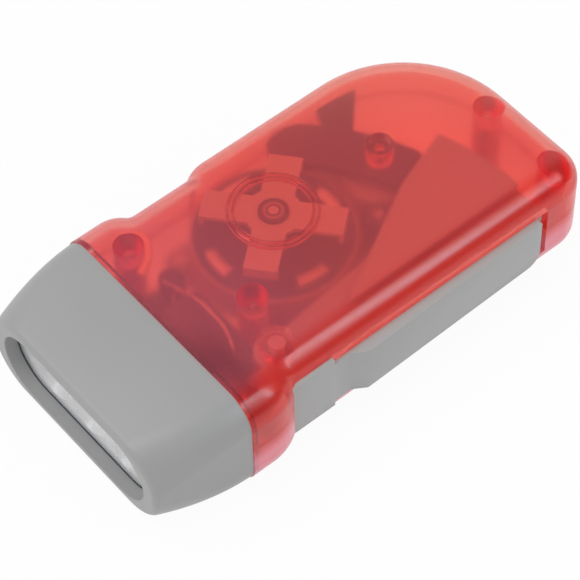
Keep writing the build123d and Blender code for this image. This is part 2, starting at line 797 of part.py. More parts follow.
def claw_plate(disc_low, claw_low, claw_high, first_angle):
    """Steel disc whose rim carries claws along the dynamo's axis."""
    with BuildPart() as plate:
        with Locations((*dynamo, disc_low)):
            Cylinder(claw_radius, claw_wall, align=BASE)
        with BuildSketch(Plane.XY.offset(claw_low)):
            for index in range(claw_count):
                with Locations(Location((*dynamo, 0), (0, 0, first_angle + index * 360 / claw_count))):
                    Rectangle(claw_radius + overrun, claw_width, align=(Align.MIN, Align.CENTER))
            with Locations(dynamo):
                Circle(claw_radius, mode=Mode.INTERSECT)
                Circle(claw_radius - claw_wall, mode=Mode.SUBTRACT)
        extrude(amount=claw_high - claw_low)
        with Locations((*dynamo, disc_low)):
            Cylinder(core_radius, claw_wall, align=BASE, mode=Mode.SUBTRACT)
    return plate.part


with BuildPart() as lower_claws:
    add(claw_plate(plate_high, plate_high, upper_claw_base - claw_end_gap, 0))
    with Locations(Location((*dynamo, plate_high), (0, 0, coil_wire_aim))):
        with Locations((coil_notch_start, 0, 0)):
            notch_align = (Align.MIN, Align.CENTER, Align.MIN)
            Box(overrun, coil_notch_width, claw_wall, align=notch_align, mode=Mode.SUBTRACT)
lower_claws.part.label = "lower_claws"
export_step(lower_claws.part, "parts/lower_claws.step")

with BuildPart() as upper_claws:
    add(claw_plate(upper_claw_base, lower_claw_top + claw_end_gap, stator_high, 180 / claw_count))
upper_claws.part.label = "upper_claws"
export_step(upper_claws.part, "parts/upper_claws.step")

with BuildPart() as bobbin:
    with Locations((*dynamo, lower_claw_top)):
        Cylinder(core_radius + bobbin_wall, upper_claw_base - lower_claw_top, align=BASE)
        Cylinder(bobbin_flange_radius, bobbin_wall, align=BASE)
    with Locations((*dynamo, upper_claw_base - bobbin_wall)):
        Cylinder(bobbin_flange_radius, bobbin_wall, align=BASE)
    with Locations((*dynamo, lower_claw_top)):
        Cylinder(core_radius, upper_claw_base - lower_claw_top, align=BASE, mode=Mode.SUBTRACT)
bobbin.part.label = "bobbin"
export_step(bobbin.part, "parts/bobbin.step")

with BuildPart() as winding:
    winding_low = lower_claw_top + bobbin_wall
    winding_height = upper_claw_base - lower_claw_top - 2 * bobbin_wall
    with Locations((*dynamo, winding_low)):
        Cylinder(winding_radius, winding_height, align=BASE)
        Cylinder(core_radius + bobbin_wall, winding_height, align=BASE, mode=Mode.SUBTRACT)
winding.part.label = "winding"
export_step(winding.part, "parts/winding.step")

# Rotor: shaft, flywheel cup with four kidney slots, ring magnet and pinion
shaft_low = 2.1
shaft_high = 22.0
flywheel_radius = 15.75
flywheel_low = 13.8
flywheel_high = 15.2
flywheel_round = 0.5
flywheel_skirt_low = 7.4
magnet_radius = 15.3
magnet_bore = 12.8
flywheel_hub_radius = 3.4
flywheel_hub_low = 12.8
kidney_radius = 12.4
kidney_width = 2.2
kidney_half_angle = 12.0
kidney_aim = -5.0
kidney_count = 4
pinion_low = 2.4
pinion_high = 4.6
with BuildPart() as rotor_shaft:
    with Locations((*dynamo, shaft_low)):
        Cylinder(axle_radius, shaft_high - shaft_low, align=BASE)
rotor_shaft.part.label = "rotor_shaft"
export_step(rotor_shaft.part, "parts/rotor_shaft.step")

with BuildPart() as flywheel:
    with Locations((*dynamo, flywheel_skirt_low)):
        Cylinder(flywheel_radius, flywheel_high - flywheel_skirt_low, align=BASE)
        Cylinder(magnet_radius, flywheel_low - flywheel_skirt_low, align=BASE, mode=Mode.SUBTRACT)
    fillet(flywheel.edges().group_by(Axis.Z)[-1], radius=flywheel_round)
    with Locations((*dynamo, flywheel_hub_low)):
        Cylinder(flywheel_hub_radius, flywheel_high - flywheel_hub_low, align=BASE)
        Cylinder(axle_radius, flywheel_high - flywheel_hub_low, align=BASE, mode=Mode.SUBTRACT)
    with BuildSketch(Plane.XY.offset(flywheel_low)):
        for index in range(kidney_count):
            middle = kidney_aim + index * 360 / kidney_count
            with BuildLine():
                kidney_arc = ThreePointArc(
                    polar(kidney_radius, middle - kidney_half_angle, dynamo),
                    polar(kidney_radius, middle, dynamo),
                    polar(kidney_radius, middle + kidney_half_angle, dynamo),
                )
            SlotArc(kidney_arc, kidney_width)
    extrude(amount=thickness, mode=Mode.SUBTRACT)
flywheel.part.label = "flywheel"
export_step(flywheel.part, "parts/flywheel.step")

with BuildPart() as ring_magnet:
    with Locations((*dynamo, flywheel_skirt_low)):
        Cylinder(magnet_radius, flywheel_low - flywheel_skirt_low, align=BASE)
        Cylinder(magnet_bore, flywheel_low - flywheel_skirt_low, align=BASE, mode=Mode.SUBTRACT)
ring_magnet.part.label = "ring_magnet"
export_step(ring_magnet.part, "parts/ring_magnet.step")


def involute(radius, base):
    """Involute function, in degrees, at a radius outside the base circle."""
    slope = acos(base / radius)
    return degrees(tan(slope) - slope)


def tooth(teeth, middle, centre):
    """Both flanks and the tip of one tooth, added to the line that is being built."""
    pitch = pitch_radius(teeth)
    base = pitch * cos(radians(pressure_angle))
    root = root_radius(teeth)
    start = max(base, root)
    tip = tip_radius(teeth)
    flank = (start + tip) / 2
    half = degrees((pi * diameter_per_tooth / 2 - backlash) / (2 * pitch)) + involute(pitch, base)
    foot_angle = half - involute(start, base)
    flank_angle = half - involute(flank, base)
    tip_angle = half - involute(tip, base)
    if start > root:
        Line(polar(root, middle - foot_angle, centre), polar(start, middle - foot_angle, centre))
        Line(polar(start, middle + foot_angle, centre), polar(root, middle + foot_angle, centre))
    for side in (-1, 1):
        ThreePointArc(
            polar(start, middle + side * foot_angle, centre),
            polar(flank, middle + side * flank_angle, centre),
            polar(tip, middle + side * tip_angle, centre),
        )
    ThreePointArc(
        polar(tip, middle - tip_angle, centre),
        polar(tip, middle, centre),
        polar(tip, middle + tip_angle, centre),
    )
    return foot_angle


def root_arc(teeth, start_angle, end_angle, centre):
    """Bottom of the gap between two teeth."""
    root = root_radius(teeth)
    ThreePointArc(
        polar(root, start_angle, centre),
        polar(root, (start_angle + end_angle) / 2, centre),
        polar(root, end_angle, centre),
    )


def gear_face(teeth, centre, aim, gap_at_aim):
    """Full gear outline with a tooth, or a gap, in the direction of aim."""
    step = 360 / teeth
    first = aim + step / 2 if gap_at_aim else aim
    with BuildSketch() as face:
        with BuildLine():
            for index in range(teeth):
                middle = first + index * step
                foot = tooth(teeth, middle, centre)
                root_arc(teeth, middle + foot, middle + step - foot, centre)
        make_face()
    return face.sketch


with BuildPart() as rotor_pinion:
    with BuildSketch(Plane.XY.offset(pinion_low)):
        add(gear_face(rotor_pinion_teeth, dynamo, rotor_aim + 180, True))
        with Locations(dynamo):
            Circle(axle_radius, mode=Mode.SUBTRACT)
    extrude(amount=pinion_high - pinion_low)
rotor_pinion.part.label = "rotor_pinion"
export_step(rotor_pinion.part, "parts/rotor_pinion.step")

# Output wheel with the toothed ring of the one-way clutch
wheel_rim = 2.2
ratchet_radius = 8.6
ratchet_wall = 1.2
ratchet_depth = 0.8
ratchet_teeth = 12
ratchet_land_share = 0.06
with BuildPart() as output_wheel:
    with BuildSketch(Plane.XY.offset(output_low)):
        add(gear_face(output_teeth, second_centre, rotor_aim, False))
    extrude(amount=output_high - output_low)
    with BuildSketch(Plane.XY.offset(output_web_top)):
        with Locations(second_centre):
            Circle(root_radius(output_teeth) - wheel_rim)
    extrude(amount=output_high - output_web_top, mode=Mode.SUBTRACT)
    with BuildSketch(Plane.XY.offset(output_web_top)):
        with Locations(second_centre):
            Circle(ratchet_radius)
        deep = ratchet_radius - ratchet_wall
        step = 360 / ratchet_teeth
        saw = []
        for index in range(ratchet_teeth):
            saw.append(polar(deep, index * step, second_centre))
            saw.append(polar(deep - ratchet_depth, (index + 1 - ratchet_land_share) * step, second_centre))
        Polygon(*saw, align=None, mode=Mode.SUBTRACT)
    extrude(amount=ratchet_high - output_web_top)
    with Locations((*second_centre, output_low)):
        Cylinder(axle_radius + pin_gap, thickness, align=BASE, mode=Mode.SUBTRACT)
output_wheel.part.label = "output_wheel"
export_step(output_wheel.part, "parts/output_wheel.step")

# Pawl of the one-way clutch: a ring with two curved spring arms
pawl_low = 3.5
pawl_ring_radius = 3.9
pawl_arm_width = 0.9
pawl_arm_turn = 150.0
pawl_arms = 2
pawl_tip_radius = ratchet_radius - ratchet_wall - ratchet_depth - running_gap
with BuildPart() as ratchet_pawl:
    with BuildSketch(Plane.XY.offset(pawl_low)):
        with Locations(second_centre):
            Circle(pawl_ring_radius)
        for index in range(pawl_arms):
            start_angle = index * 360 / pawl_arms
            with BuildLine():
                arm_arc = ThreePointArc(
                    polar(pawl_ring_radius - pawl_arm_width / 2, start_angle, second_centre),
                    polar(
                        (pawl_ring_radius + pawl_tip_radius) / 2,
                        start_angle + pawl_arm_turn / 2,
                        second_centre,
                    ),
                    polar(pawl_tip_radius - pawl_arm_width / 2, start_angle + pawl_arm_turn, second_centre),
                )
            SlotArc(arm_arc, pawl_arm_width)
        with Locations(second_centre):
            Circle(hub_radius, mode=Mode.SUBTRACT)
    extrude(amount=ratchet_high - pawl_low)
ratchet_pawl.part.label = "ratchet_pawl"
export_step(ratchet_pawl.part, "parts/ratchet_pawl.step")

# Second pinion on its long hub, which turns in the gear plate
second_pinion_margin = 0.2
with BuildPart() as second_pinion:
    with BuildSketch(Plane.XY.offset(second_wheel_low - second_pinion_margin)):
        add(gear_face(second_pinion_teeth, second_centre, second_aim + 180, True))
    extrude(amount=second_wheel_high - second_wheel_low + 2 * second_pinion_margin)
    with Locations((*second_centre, pawl_low)):
        Cylinder(hub_radius, second_wheel_low - second_pinion_margin - pawl_low, align=BASE)
        Cylinder(axle_radius + pin_gap, thickness, align=BASE, mode=Mode.SUBTRACT)
second_pinion.part.label = "second_pinion"
export_step(second_pinion.part, "parts/second_pinion.step")

# First gear: large wheel below, pinion above in the sector's slot
first_shank_radius = 1.7
first_pinion_low = 15.6
first_pinion_high = 17.2
with BuildPart() as first_gear:
    with BuildSketch(Plane.XY.offset(second_wheel_low)):
        add(gear_face(first_wheel_teeth, first_centre, second_aim, False))
    extrude(amount=second_wheel_high - second_wheel_low)
    with BuildSketch(Plane.XY.offset(first_pinion_low)):
        add(gear_face(first_pinion_teeth, first_centre, sector_aim + 180, True))
    extrude(amount=first_pinion_high - first_pinion_low)
    with Locations((*first_centre, second_wheel_high)):
        Cylinder(first_shank_radius, first_pinion_low - second_wheel_high, align=BASE)
    with Locations((*first_centre, second_wheel_low)):
        Cylinder(axle_radius + pin_gap, thickness, align=BASE, mode=Mode.SUBTRACT)
first_gear.part.label = "first_gear"
export_step(first_gear.part, "parts/first_gear.step")

# Axles of the first and second gears
with BuildPart() as first_axle:
    with Locations((*first_centre, plate_low)):
        Cylinder(axle_radius, first_axle_top - plate_low, align=BASE)
first_axle.part.label = "first_axle"
export_step(first_axle.part, "parts/first_axle.step")

with BuildPart() as second_axle:
    with Locations((*second_centre, axle_low)):
        Cylinder(axle_radius, second_axle_top - axle_low, align=BASE)
second_axle.part.label = "second_axle"
export_step(second_axle.part, "parts/second_axle.step")

# Lever pivot pin
with BuildPart() as pivot_pin:
    with Locations((*pivot, pivot_pin_low)):
        Cylinder(pivot_pin_radius, pivot_pin_high - pivot_pin_low, align=BASE)
pivot_pin.part.label = "pivot_pin"
export_step(pivot_pin.part, "parts/pivot_pin.step")

# Squeeze lever
lever_gap = 0.35
lever_hub_radius = 4.2
lever_pad_proud = 0.5
lever_front_proud = 2.2
lever_rear_proud = 1.3
lever_rear_gap = 2.6
lever_step_start = 3.7
lever_step_run = 2.7
lever_bar_depth = 3.5
lever_front_depth = 5.3
lever_pad_depth = 6.2
lever_wall = 1.8
lever_pad_face = near_reach + lever_pad_proud
lever_step_x = notch_x + lever_step_start
lever_front_face = near_reach + lever_front_proud
lever_rear_face = near_reach + lever_rear_proud
lever_rear_x = slot_rear_x - lever_rear_gap
lever_bar_inner = near_reach - lever_bar_depth
lever_bar_inner_front = near_reach - lever_front_depth
lever_pad_inner = near_reach - lever_pad_depth
lever_corner = 3.0
lever_edge = 0.7
web_reach = 58.8
web_low_angle = -6.0
web_high_angle = 19.2
web_inner_reach = 29.4
web_inner_angle = 14.2
spring_space_low = 8.4
spring_space_high = 13.8
spring_space_radius = 4.3
lug_from_lock = 5.7
lug_width = 2.8
lug_overlap = 2.6
lug_x = lock_x - lug_from_lock
lug_inner_y = lock_post_y + lug_overlap
foot_width = 1.4
foot_reach = 2.2
lug_height = 2.0
rivet_radius = 0.8
rivet_head_radius = 1.4
rivet_head = 0.45
rivet_reach = 48.6
rivet_angles = [12.6, 17.4]
bar_low = slot_low + lever_gap
bar_high = slot_high - lever_gap
pad_low = tall_slot_low + lever_gap / 2
pad_high = tall_slot_high - lever_gap / 2
with BuildPart() as squeeze_lever:
    with BuildSketch(Plane.XY.offset(pad_low)):
        with Locations(pivot):
            Circle(lever_front_radius)
        with Locations((pivot_x, -lever_pad_face)):
            Rectangle(notch_x - pivot_x, lever_pad_face - lever_pad_inner, align=(Align.MIN, Align.MIN))
        with Locations((pivot_x, -lever_pad_face)):
            Rectangle(2 * thickness, thickness, align=(Align.CENTER, Align.MAX), mode=Mode.SUBTRACT)
        with Locations((pivot_x, -lever_pad_inner)):
            Rectangle(2 * thickness, thickness, align=(Align.CENTER, Align.MIN), mode=Mode.SUBTRACT)
        with Locations(pivot):
            Circle(lever_hub_radius)
        with Locations((notch_x, -lever_pad_face)):
            Rectangle(thickness, 2 * thickness, align=(Align.MIN, Align.CENTER), mode=Mode.SUBTRACT)
    extrude(amount=pad_high - pad_low)
    with BuildSketch(Plane.XY.offset(bar_low)):
        Polygon(
            (notch_x, -lever_pad_face),
            (lever_step_x, -lever_pad_face),
            (lever_step_x + lever_step_run, -lever_front_face),
            (lever_rear_x, -lever_rear_face),
            (lever_rear_x, -lever_bar_inner),
            (notch_x, -lever_bar_inner_front),
            align=None,
        )
    extrude(amount=bar_high - bar_low)
    with BuildSketch(Plane.XY.offset(bar_low + lever_wall)):
        Polygon(
            (lever_step_x + lever_step_run, -lever_front_face + lever_wall),
            (lever_rear_x - lever_wall, -lever_rear_face + lever_wall),
            (lever_rear_x - lever_wall, -lever_bar_inner + lever_wall),
            (lever_step_x + lever_step_run, -lever_bar_inner_front + lever_wall),
            align=None,
        )
    extrude(amount=bar_high - bar_low - 2 * lever_wall, mode=Mode.SUBTRACT)
    rear_bottom = squeeze_lever.edges().filter_by(Axis.Y).group_by(Axis.X)[-1].sort_by(Axis.Z)[0]
    fillet(rear_bottom, radius=lever_corner)
    with BuildSketch(Plane.XY.offset(web_low)):
        with BuildLine():
            web_inner = polar(web_inner_reach, web_inner_angle, pivot)
            web_corner = polar(web_reach, web_high_angle, pivot)
            web_foot = polar(web_reach, web_low_angle, pivot)
            Line((pivot_x, pivot_y + lever_hub_radius), web_inner)
            Line(web_inner, polar(root_radius(sector_teeth), web_high_angle, pivot))
            Line(polar(root_radius(sector_teeth), web_high_angle, pivot), web_corner)
            ThreePointArc(web_corner, polar(web_reach, (web_high_angle + web_low_angle) / 2, pivot), web_foot)
            Line(web_foot, (notch_x, -lever_pad_inner))
            Line((notch_x, -lever_pad_inner), (pivot_x, -lever_pad_inner))
            Line((pivot_x, -lever_pad_inner), (pivot_x, pivot_y + lever_hub_radius))
        make_face()
    extrude(amount=web_high - web_low)
    with Locations((*pivot, spring_space_low)):
        spring_space = spring_space_high - spring_space_low
        Cylinder(spring_space_radius, spring_space, align=BASE, mode=Mode.SUBTRACT)
    with Locations((*pivot, pad_low)):
        Cylinder(pivot_pin_radius + pin_gap, pad_high - pad_low, align=BASE, mode=Mode.SUBTRACT)
    with Locations((lug_x, -lever_bar_inner - lever_edge, bar_low)):
        lug_length = lever_bar_inner + lever_edge + lug_inner_y
        Box(lug_width, lug_length, lug_height, align=(Align.CENTER, Align.MIN, Align.MIN))
    with Locations((lug_x + lug_width / 2, lug_inner_y, bar_low)):
        Box(foot_reach, foot_width, lug_height, align=(Align.MIN, Align.MAX, Align.MIN))
    with Locations(*[(*polar(rivet_reach, angle, pivot), web_low) for angle in rivet_angles]):
        Cylinder(rivet_radius, thickness, align=BASE, mode=Mode.SUBTRACT)
squeeze_lever.part.label = "squeeze_lever"
export_step(squeeze_lever.part, "parts/squeeze_lever.step")

# Sector gear: toothed inner arc, cupped under a cover for the first pinion, with a lug
# that stands off the far wall and stops the lever's outward swing
cover_thickness = 0.6
cover_start = 7.0
stop_lug = [(21.5, 17.4), (24.0, 22.8), (32.8, 21.6), (26.0, 14.2)]
sector_inner_radius = 43.6
sector_outer_wall = 1.3
sector_tail_angle = 10.0
sector_tooth_margin = 2.4
slot_clearance = 0.6
slot_outer_radius = (
    pitch_radius(sector_teeth)
    + pitch_radius(first_pinion_teeth)
    + tip_radius(first_pinion_teeth)
    + slot_clearance
)
sector_outer_radius = slot_outer_radius + sector_outer_wall
sector_end_angle = sector_aim + lever_swing
slot_half_width = (slot_outer_radius - root_radius(sector_teeth)) / 2
slot_middle_radius = root_radius(sector_teeth) + slot_half_width
sector_half_width = (sector_outer_radius - sector_inner_radius) / 2


def band_face(inner, outer, start_angle, end_angle):
    """Flat band between two radii and two angles about the pivot."""
    middle = (start_angle + end_angle) / 2
    with BuildSketch() as band:
        with BuildLine():
            ThreePointArc(
                polar(outer, start_angle, pivot), polar(outer, middle, pivot), polar(outer, end_angle, pivot)
            )
            ThreePointArc(
                polar(inner, start_angle, pivot), polar(inner, middle, pivot), polar(inner, end_angle, pivot)
            )
            Line(polar(inner, start_angle, pivot), polar(outer, start_angle, pivot))
            Line(polar(inner, end_angle, pivot), polar(outer, end_angle, pivot))
        make_face()
    return band.sketch


sector_step = 360 / sector_teeth
sector_teeth_before = int(sector_tooth_margin / sector_step)
sector_teeth_after = int((lever_swing + sector_tooth_margin) / sector_step)
with BuildPart() as sector_gear:
    with BuildSketch(Plane.XY.offset(web_high)):
        add(band_face(sector_inner_radius, sector_outer_radius, sector_tail_angle, sector_end_angle))
        with Locations(polar(sector_inner_radius + sector_half_width, sector_end_angle, pivot)):
            Circle(sector_half_width)
        slot_inner_radius = root_radius(sector_teeth)
        add(
            band_face(slot_inner_radius, slot_outer_radius, sector_aim, sector_end_angle),
            mode=Mode.SUBTRACT,
        )
        with Locations(
            polar(slot_middle_radius, sector_aim, pivot),
            polar(slot_middle_radius, sector_end_angle, pivot),
        ):
            Circle(slot_half_width, mode=Mode.SUBTRACT)
    extrude(amount=sector_high - web_high)
    with BuildSketch(Plane.XY.offset(web_high)):
        with BuildLine():
            first_middle = sector_aim - sector_teeth_before * sector_step
            last_middle = sector_aim + sector_teeth_after * sector_step
            for index in range(sector_teeth_before + sector_teeth_after + 1):
                middle = first_middle + index * sector_step
                foot = tooth(sector_teeth, middle, pivot)
                if middle < last_middle - sector_step / 2:
                    root_arc(sector_teeth, middle + foot, middle + sector_step - foot, pivot)
            start_angle = first_middle - foot
            end_angle = last_middle + foot
            inner = sector_inner_radius
            Line(polar(slot_inner_radius, start_angle, pivot), polar(inner, start_angle, pivot))
            Line(polar(slot_inner_radius, end_angle, pivot), polar(inner, end_angle, pivot))
            ThreePointArc(
                polar(inner, start_angle, pivot),
                polar(inner, (start_angle + end_angle) / 2, pivot),
                polar(inner, end_angle, pivot),
            )
        make_face()
    extrude(amount=sector_high - web_high)
    with BuildSketch(Plane.XY.offset(sector_high)):
        add(band_face(sector_inner_radius, sector_outer_radius, sector_aim - cover_start, sector_end_angle))
        with Locations(polar(sector_inner_radius + sector_half_width, sector_end_angle, pivot)):
            Circle(sector_half_width)
    extrude(amount=cover_thickness)
    with BuildSketch(Plane.XY.offset(web_high)):
        with BuildLine():
            Polyline(*stop_lug, close=True)
        make_face()
        with Locations(pivot):
            Circle(slot_outer_radius + sector_outer_wall / 2, mode=Mode.SUBTRACT)
    extrude(amount=sector_high - web_high)
    with Locations(*[(*polar(rivet_reach, angle, pivot), web_high) for angle in rivet_angles]):
        Cylinder(rivet_radius, thickness, align=BASE, mode=Mode.SUBTRACT)
sector_gear.part.label = "sector_gear"
export_step(sector_gear.part, "parts/sector_gear.step")

# Rivets that hold the sector gear on the lever's web
with BuildPart() as sector_rivets:
    for angle in rivet_angles:
        with Locations((*polar(rivet_reach, angle, pivot), web_low - rivet_head)):
            Cylinder(rivet_head_radius, rivet_head, align=BASE)
            Cylinder(rivet_radius, sector_high - web_low + 2 * rivet_head, align=BASE)
        with Locations((*polar(rivet_reach, angle, pivot), sector_high)):
            Cylinder(rivet_head_radius, rivet_head, align=BASE)
sector_rivets.part.label = "sector_rivets"
export_step(sector_rivets.part, "parts/sector_rivets.step")

# Return spring: three turns round the pivot pin, one leg on the screw column, one on the lever
spring_radius = 2.9
spring_wire_radius = 0.4
spring_turns = 3
spring_pitch = 1.25
spring_low = 9.3
spring_far_leg_gap = 0.3
spring_near_leg = 2.9
spring_slope = spring_pitch / (2 * pi * spring_radius)
far_leg = column_screw_y - post_radius - spring_far_leg_gap - pivot_y
quarters = 4 * spring_turns
with BuildPart() as return_spring:
    with BuildLine() as spring_line:
        Line(
            (pivot_x + spring_radius, pivot_y + far_leg, spring_low - far_leg * spring_slope),
            (pivot_x + spring_radius, pivot_y, spring_low),
        )
        for index in range(quarters):
            bend = []
            for part in (0, 0.5, 1):
                turned = index + part
                height = spring_low + spring_pitch * turned / 4
                bend.append((*polar(spring_radius, -90 * turned, pivot), height))
            ThreePointArc(*bend)
        spring_high = spring_low + spring_pitch * spring_turns
        Line(
            (pivot_x + spring_radius, pivot_y, spring_high),
            (pivot_x + spring_radius, pivot_y - spring_near_leg, spring_high + spring_near_leg * spring_slope),
        )
    with BuildSketch(Plane(origin=spring_line.line @ 0, z_dir=spring_line.line % 0)):
        Circle(spring_wire_radius)
    sweep(path=spring_line.line)
print("spring: least gap between turns", round(spring_pitch * cos(spring_slope) - 2 * spring_wire_radius, 3))
return_spring.part.label = "return_spring"
export_step(return_spring.part, "parts/return_spring.step")

# Lock slider: pad in the floor's window, flange above the floor, post that steps in front of the foot
with BuildPart() as lock_slider:
    with Locations((lock_x, lock_y, lock_pad_low)):
        Box(lock_pad_length, lock_pad_width, shell_wall - lock_pad_low, align=BASE)
    with Locations((lock_x, lock_y, shell_wall)):
        flange_length = lock_pad_length + 2 * lock_flange
        Box(flange_length, lock_pad_width + 2 * lock_flange, lock_flange_height, align=BASE)
    with Locations((lock_x, lock_post_y, shell_wall)):
        Box(lock_post_length, lock_post_width, lock_post_top - shell_wall, align=BASE)
lock_slider.part.label = "lock_slider"
export_step(lock_slider.part, "parts/lock_slider.step")


# Wires between the works, held all the way
def wire_solid(route, wire_radius):
    """Round wire along a route of straight runs joined by tangent arcs."""
    points = [Vector(*point) for point in route]
    bends = []
    for before, corner, after in zip(points, points[1:], points[2:]):
        turn = radians((corner - before).get_angle(after - corner))
        shorter = min((corner - before).length, (after - corner).length)
        bends.append(bend_share * shorter / tan(turn / 2))
    print("wire bend radii", [round(bend, 2) for bend in bends])
    with BuildPart() as wire:
        with BuildLine() as path:
            FilletPolyline(*points, radius=bends)
        with BuildSketch(Plane(origin=path.line @ 0, z_dir=path.line % 0)):
            Circle(wire_radius)
        sweep(path=path.line)
    return wire.part


bend_share = 0.45
lamp_wire_radius = 0.45
coil_wire_radius = 0.25
cell_wire_radius = 0.35
wire_pitch = 2.2
coil_wire_pitch = 0.9
lamp_board_rear_x = lamp_board_x + lamp_board_thickness
board_front_x = board_x - board_length / 2
board_rear_x = board_x + board_length / 2
board_near_y = board_y - board_width / 2
board_middle_z = board_low + board_thickness / 2
with BuildPart() as lamp_wires:
    for index in (0, 1):
        wire_y = board_y - index * wire_pitch
        lamp_wire_z = parting_z + index * shell_wall
        route = [
            (board_front_x, wire_y, board_middle_z),
            (joint_x - wire_pitch, wire_y, board_middle_z),
            (joint_x - 2 * wire_pitch, wire_y - wire_pitch, lamp_wire_z),
            (lamp_board_rear_x, wire_y - wire_pitch, lamp_wire_z),
        ]
        add(wire_solid(route, lamp_wire_radius))
lamp_wires.part.label = "lamp_wires"
export_step(lamp_wires.part, "parts/lamp_wires.step")

# The winding's ends go down through a notch, out under the magnet and up to the board
wire_out_z = 8.6
wire_under_z = plate_high + coil_wire_radius + pin_gap
wire_down_radius = 11.5
wire_rise_radius = 17.4
wire_end_run = 1.2
wire_end_inset = 1.1


def coil_point(radius, side, height):
    """Point on the winding's exit line, moved sideways."""
    along = polar(radius, coil_wire_aim, dynamo)
    across = polar(side, coil_wire_aim + 90)
    return (along[0] + across[0], along[1] + across[1], height)


with BuildPart() as coil_wires:
    for side in (-coil_wire_pitch / 2, coil_wire_pitch / 2):
        wire_y = board_y + board_width / 2 - wire_end_inset - side
        route = [
            coil_point(winding_radius, side, wire_out_z),
            coil_point(wire_down_radius, side, wire_out_z),
            coil_point(wire_down_radius, side, wire_under_z),
            coil_point(wire_rise_radius, side, wire_under_z),
            (board_rear_x + wire_end_run, wire_y, board_middle_z),
            (board_rear_x, wire_y, board_middle_z),
        ]
        add(wire_solid(route, coil_wire_radius))
coil_wires.part.label = "coil_wires"
export_step(coil_wires.part, "parts/coil_wires.step")

# One cell wire runs over the stack to the board's top, the other drops straight to its edge
over_stack_lift = 1.6
over_stack_z = stack_z + sleeve_radius + over_stack_lift
near_tab_y = stack_near_y - tab_thickness - cell_wire_radius
far_tab_y = stack_far_y + tab_thickness + cell_wire_radius
top_wire_x = stack_x + wire_pitch / 2
top_wire_y = board_near_y + 2 * cell_wire_radius
with BuildPart() as cell_wires:
    add(
        wire_solid(
            [
                (stack_x, near_tab_y, stack_z),
                (stack_x, near_tab_y, over_stack_z - cell_wire_radius),
                (stack_x + wire_pitch, near_tab_y + cell_height, over_stack_z),
                (stack_x + wire_pitch, stack_far_y - cell_height / 2, over_stack_z),
                (top_wire_x, top_wire_y, over_stack_z - wire_pitch),
                (top_wire_x, top_wire_y, board_high),
            ],
            cell_wire_radius,
        )
    )
    add(
        wire_solid(
            [
                (stack_x - wire_pitch / 2, far_tab_y, stack_z + wire_pitch),
                (stack_x - wire_pitch / 2, far_tab_y, board_middle_z),
                (stack_x - wire_pitch / 2, board_near_y, board_middle_z),
            ],
            cell_wire_radius,
        )
    )
cell_wires.part.label = "cell_wires"
export_step(cell_wires.part, "parts/cell_wires.step")
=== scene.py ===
# %% [markdown]
# # A squeeze flashlight in clear red plastic
# Squeezing the grey lever swings a toothed sector, a train of gears runs the flywheel
# up to speed, and a magnet in the flywheel makes the current for three lamps. The case
# is clear red, so all of this shows through it. The measured model of the flashlight is
# loaded first, and everything below stands in the same place and at the same size.

# %% Load the measured model
import bpy
import bmesh
import math
from mathutils import Matrix, Vector


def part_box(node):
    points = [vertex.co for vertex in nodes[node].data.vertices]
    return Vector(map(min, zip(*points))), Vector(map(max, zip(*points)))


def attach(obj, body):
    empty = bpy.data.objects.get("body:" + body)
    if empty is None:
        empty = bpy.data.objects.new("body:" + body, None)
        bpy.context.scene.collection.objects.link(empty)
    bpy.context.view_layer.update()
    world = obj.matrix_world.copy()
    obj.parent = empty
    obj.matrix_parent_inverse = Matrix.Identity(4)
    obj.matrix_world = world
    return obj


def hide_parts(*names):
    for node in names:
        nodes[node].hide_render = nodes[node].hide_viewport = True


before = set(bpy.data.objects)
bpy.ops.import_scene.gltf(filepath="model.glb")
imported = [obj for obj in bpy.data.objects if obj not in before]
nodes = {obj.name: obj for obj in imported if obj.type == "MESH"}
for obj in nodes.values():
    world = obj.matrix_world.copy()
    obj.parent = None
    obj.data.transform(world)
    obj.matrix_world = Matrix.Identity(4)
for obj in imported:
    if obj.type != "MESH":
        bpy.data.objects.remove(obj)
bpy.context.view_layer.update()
MM = 0.001
print("pieces in the measured model:", len(nodes))

# %% [markdown]
# ## Looking at it
# The photograph was taken from well above, past the lever side, with a long lens from
# half a metre. A camera is a place, a right hand and an up, so these three are written
# out and the turn of the camera is built from them.

# %% Place the camera
CAMERA_PLACE = Vector((-0.181304, -0.227107, 0.399035))
CAMERA_RIGHT = Vector((0.768210, -0.639924, -0.018737))
CAMERA_UP = Vector((0.523855, 0.611510, 0.592985))
camera_data = bpy.data.cameras.new("camera")
camera_data.lens = 163.0
camera_data.sensor_width = 36
camera_data.clip_start = 0.01
camera_data.clip_end = 20
camera = bpy.data.objects.new("camera", camera_data)
bpy.context.scene.collection.objects.link(camera)
turn = Matrix((CAMERA_RIGHT, CAMERA_UP, CAMERA_RIGHT.cross(CAMERA_UP))).transposed()
camera.matrix_world = Matrix.Translation(CAMERA_PLACE) @ turn.to_4x4()
bpy.context.scene.camera = camera
bpy.context.scene.view_settings.view_transform = "Standard"
print("camera turn in degrees:", [round(math.degrees(part), 1) for part in turn.to_euler()])

# %% [markdown]
# ## Writing finishes as sums
# A finish is a graph of nodes. Placing each node by hand hides the idea, so two small
# classes do it: `Number` wraps a socket, and sums and products of it add Math nodes, and
# `Finish` is one material, or the air of the room, with a single method for every other
# node.

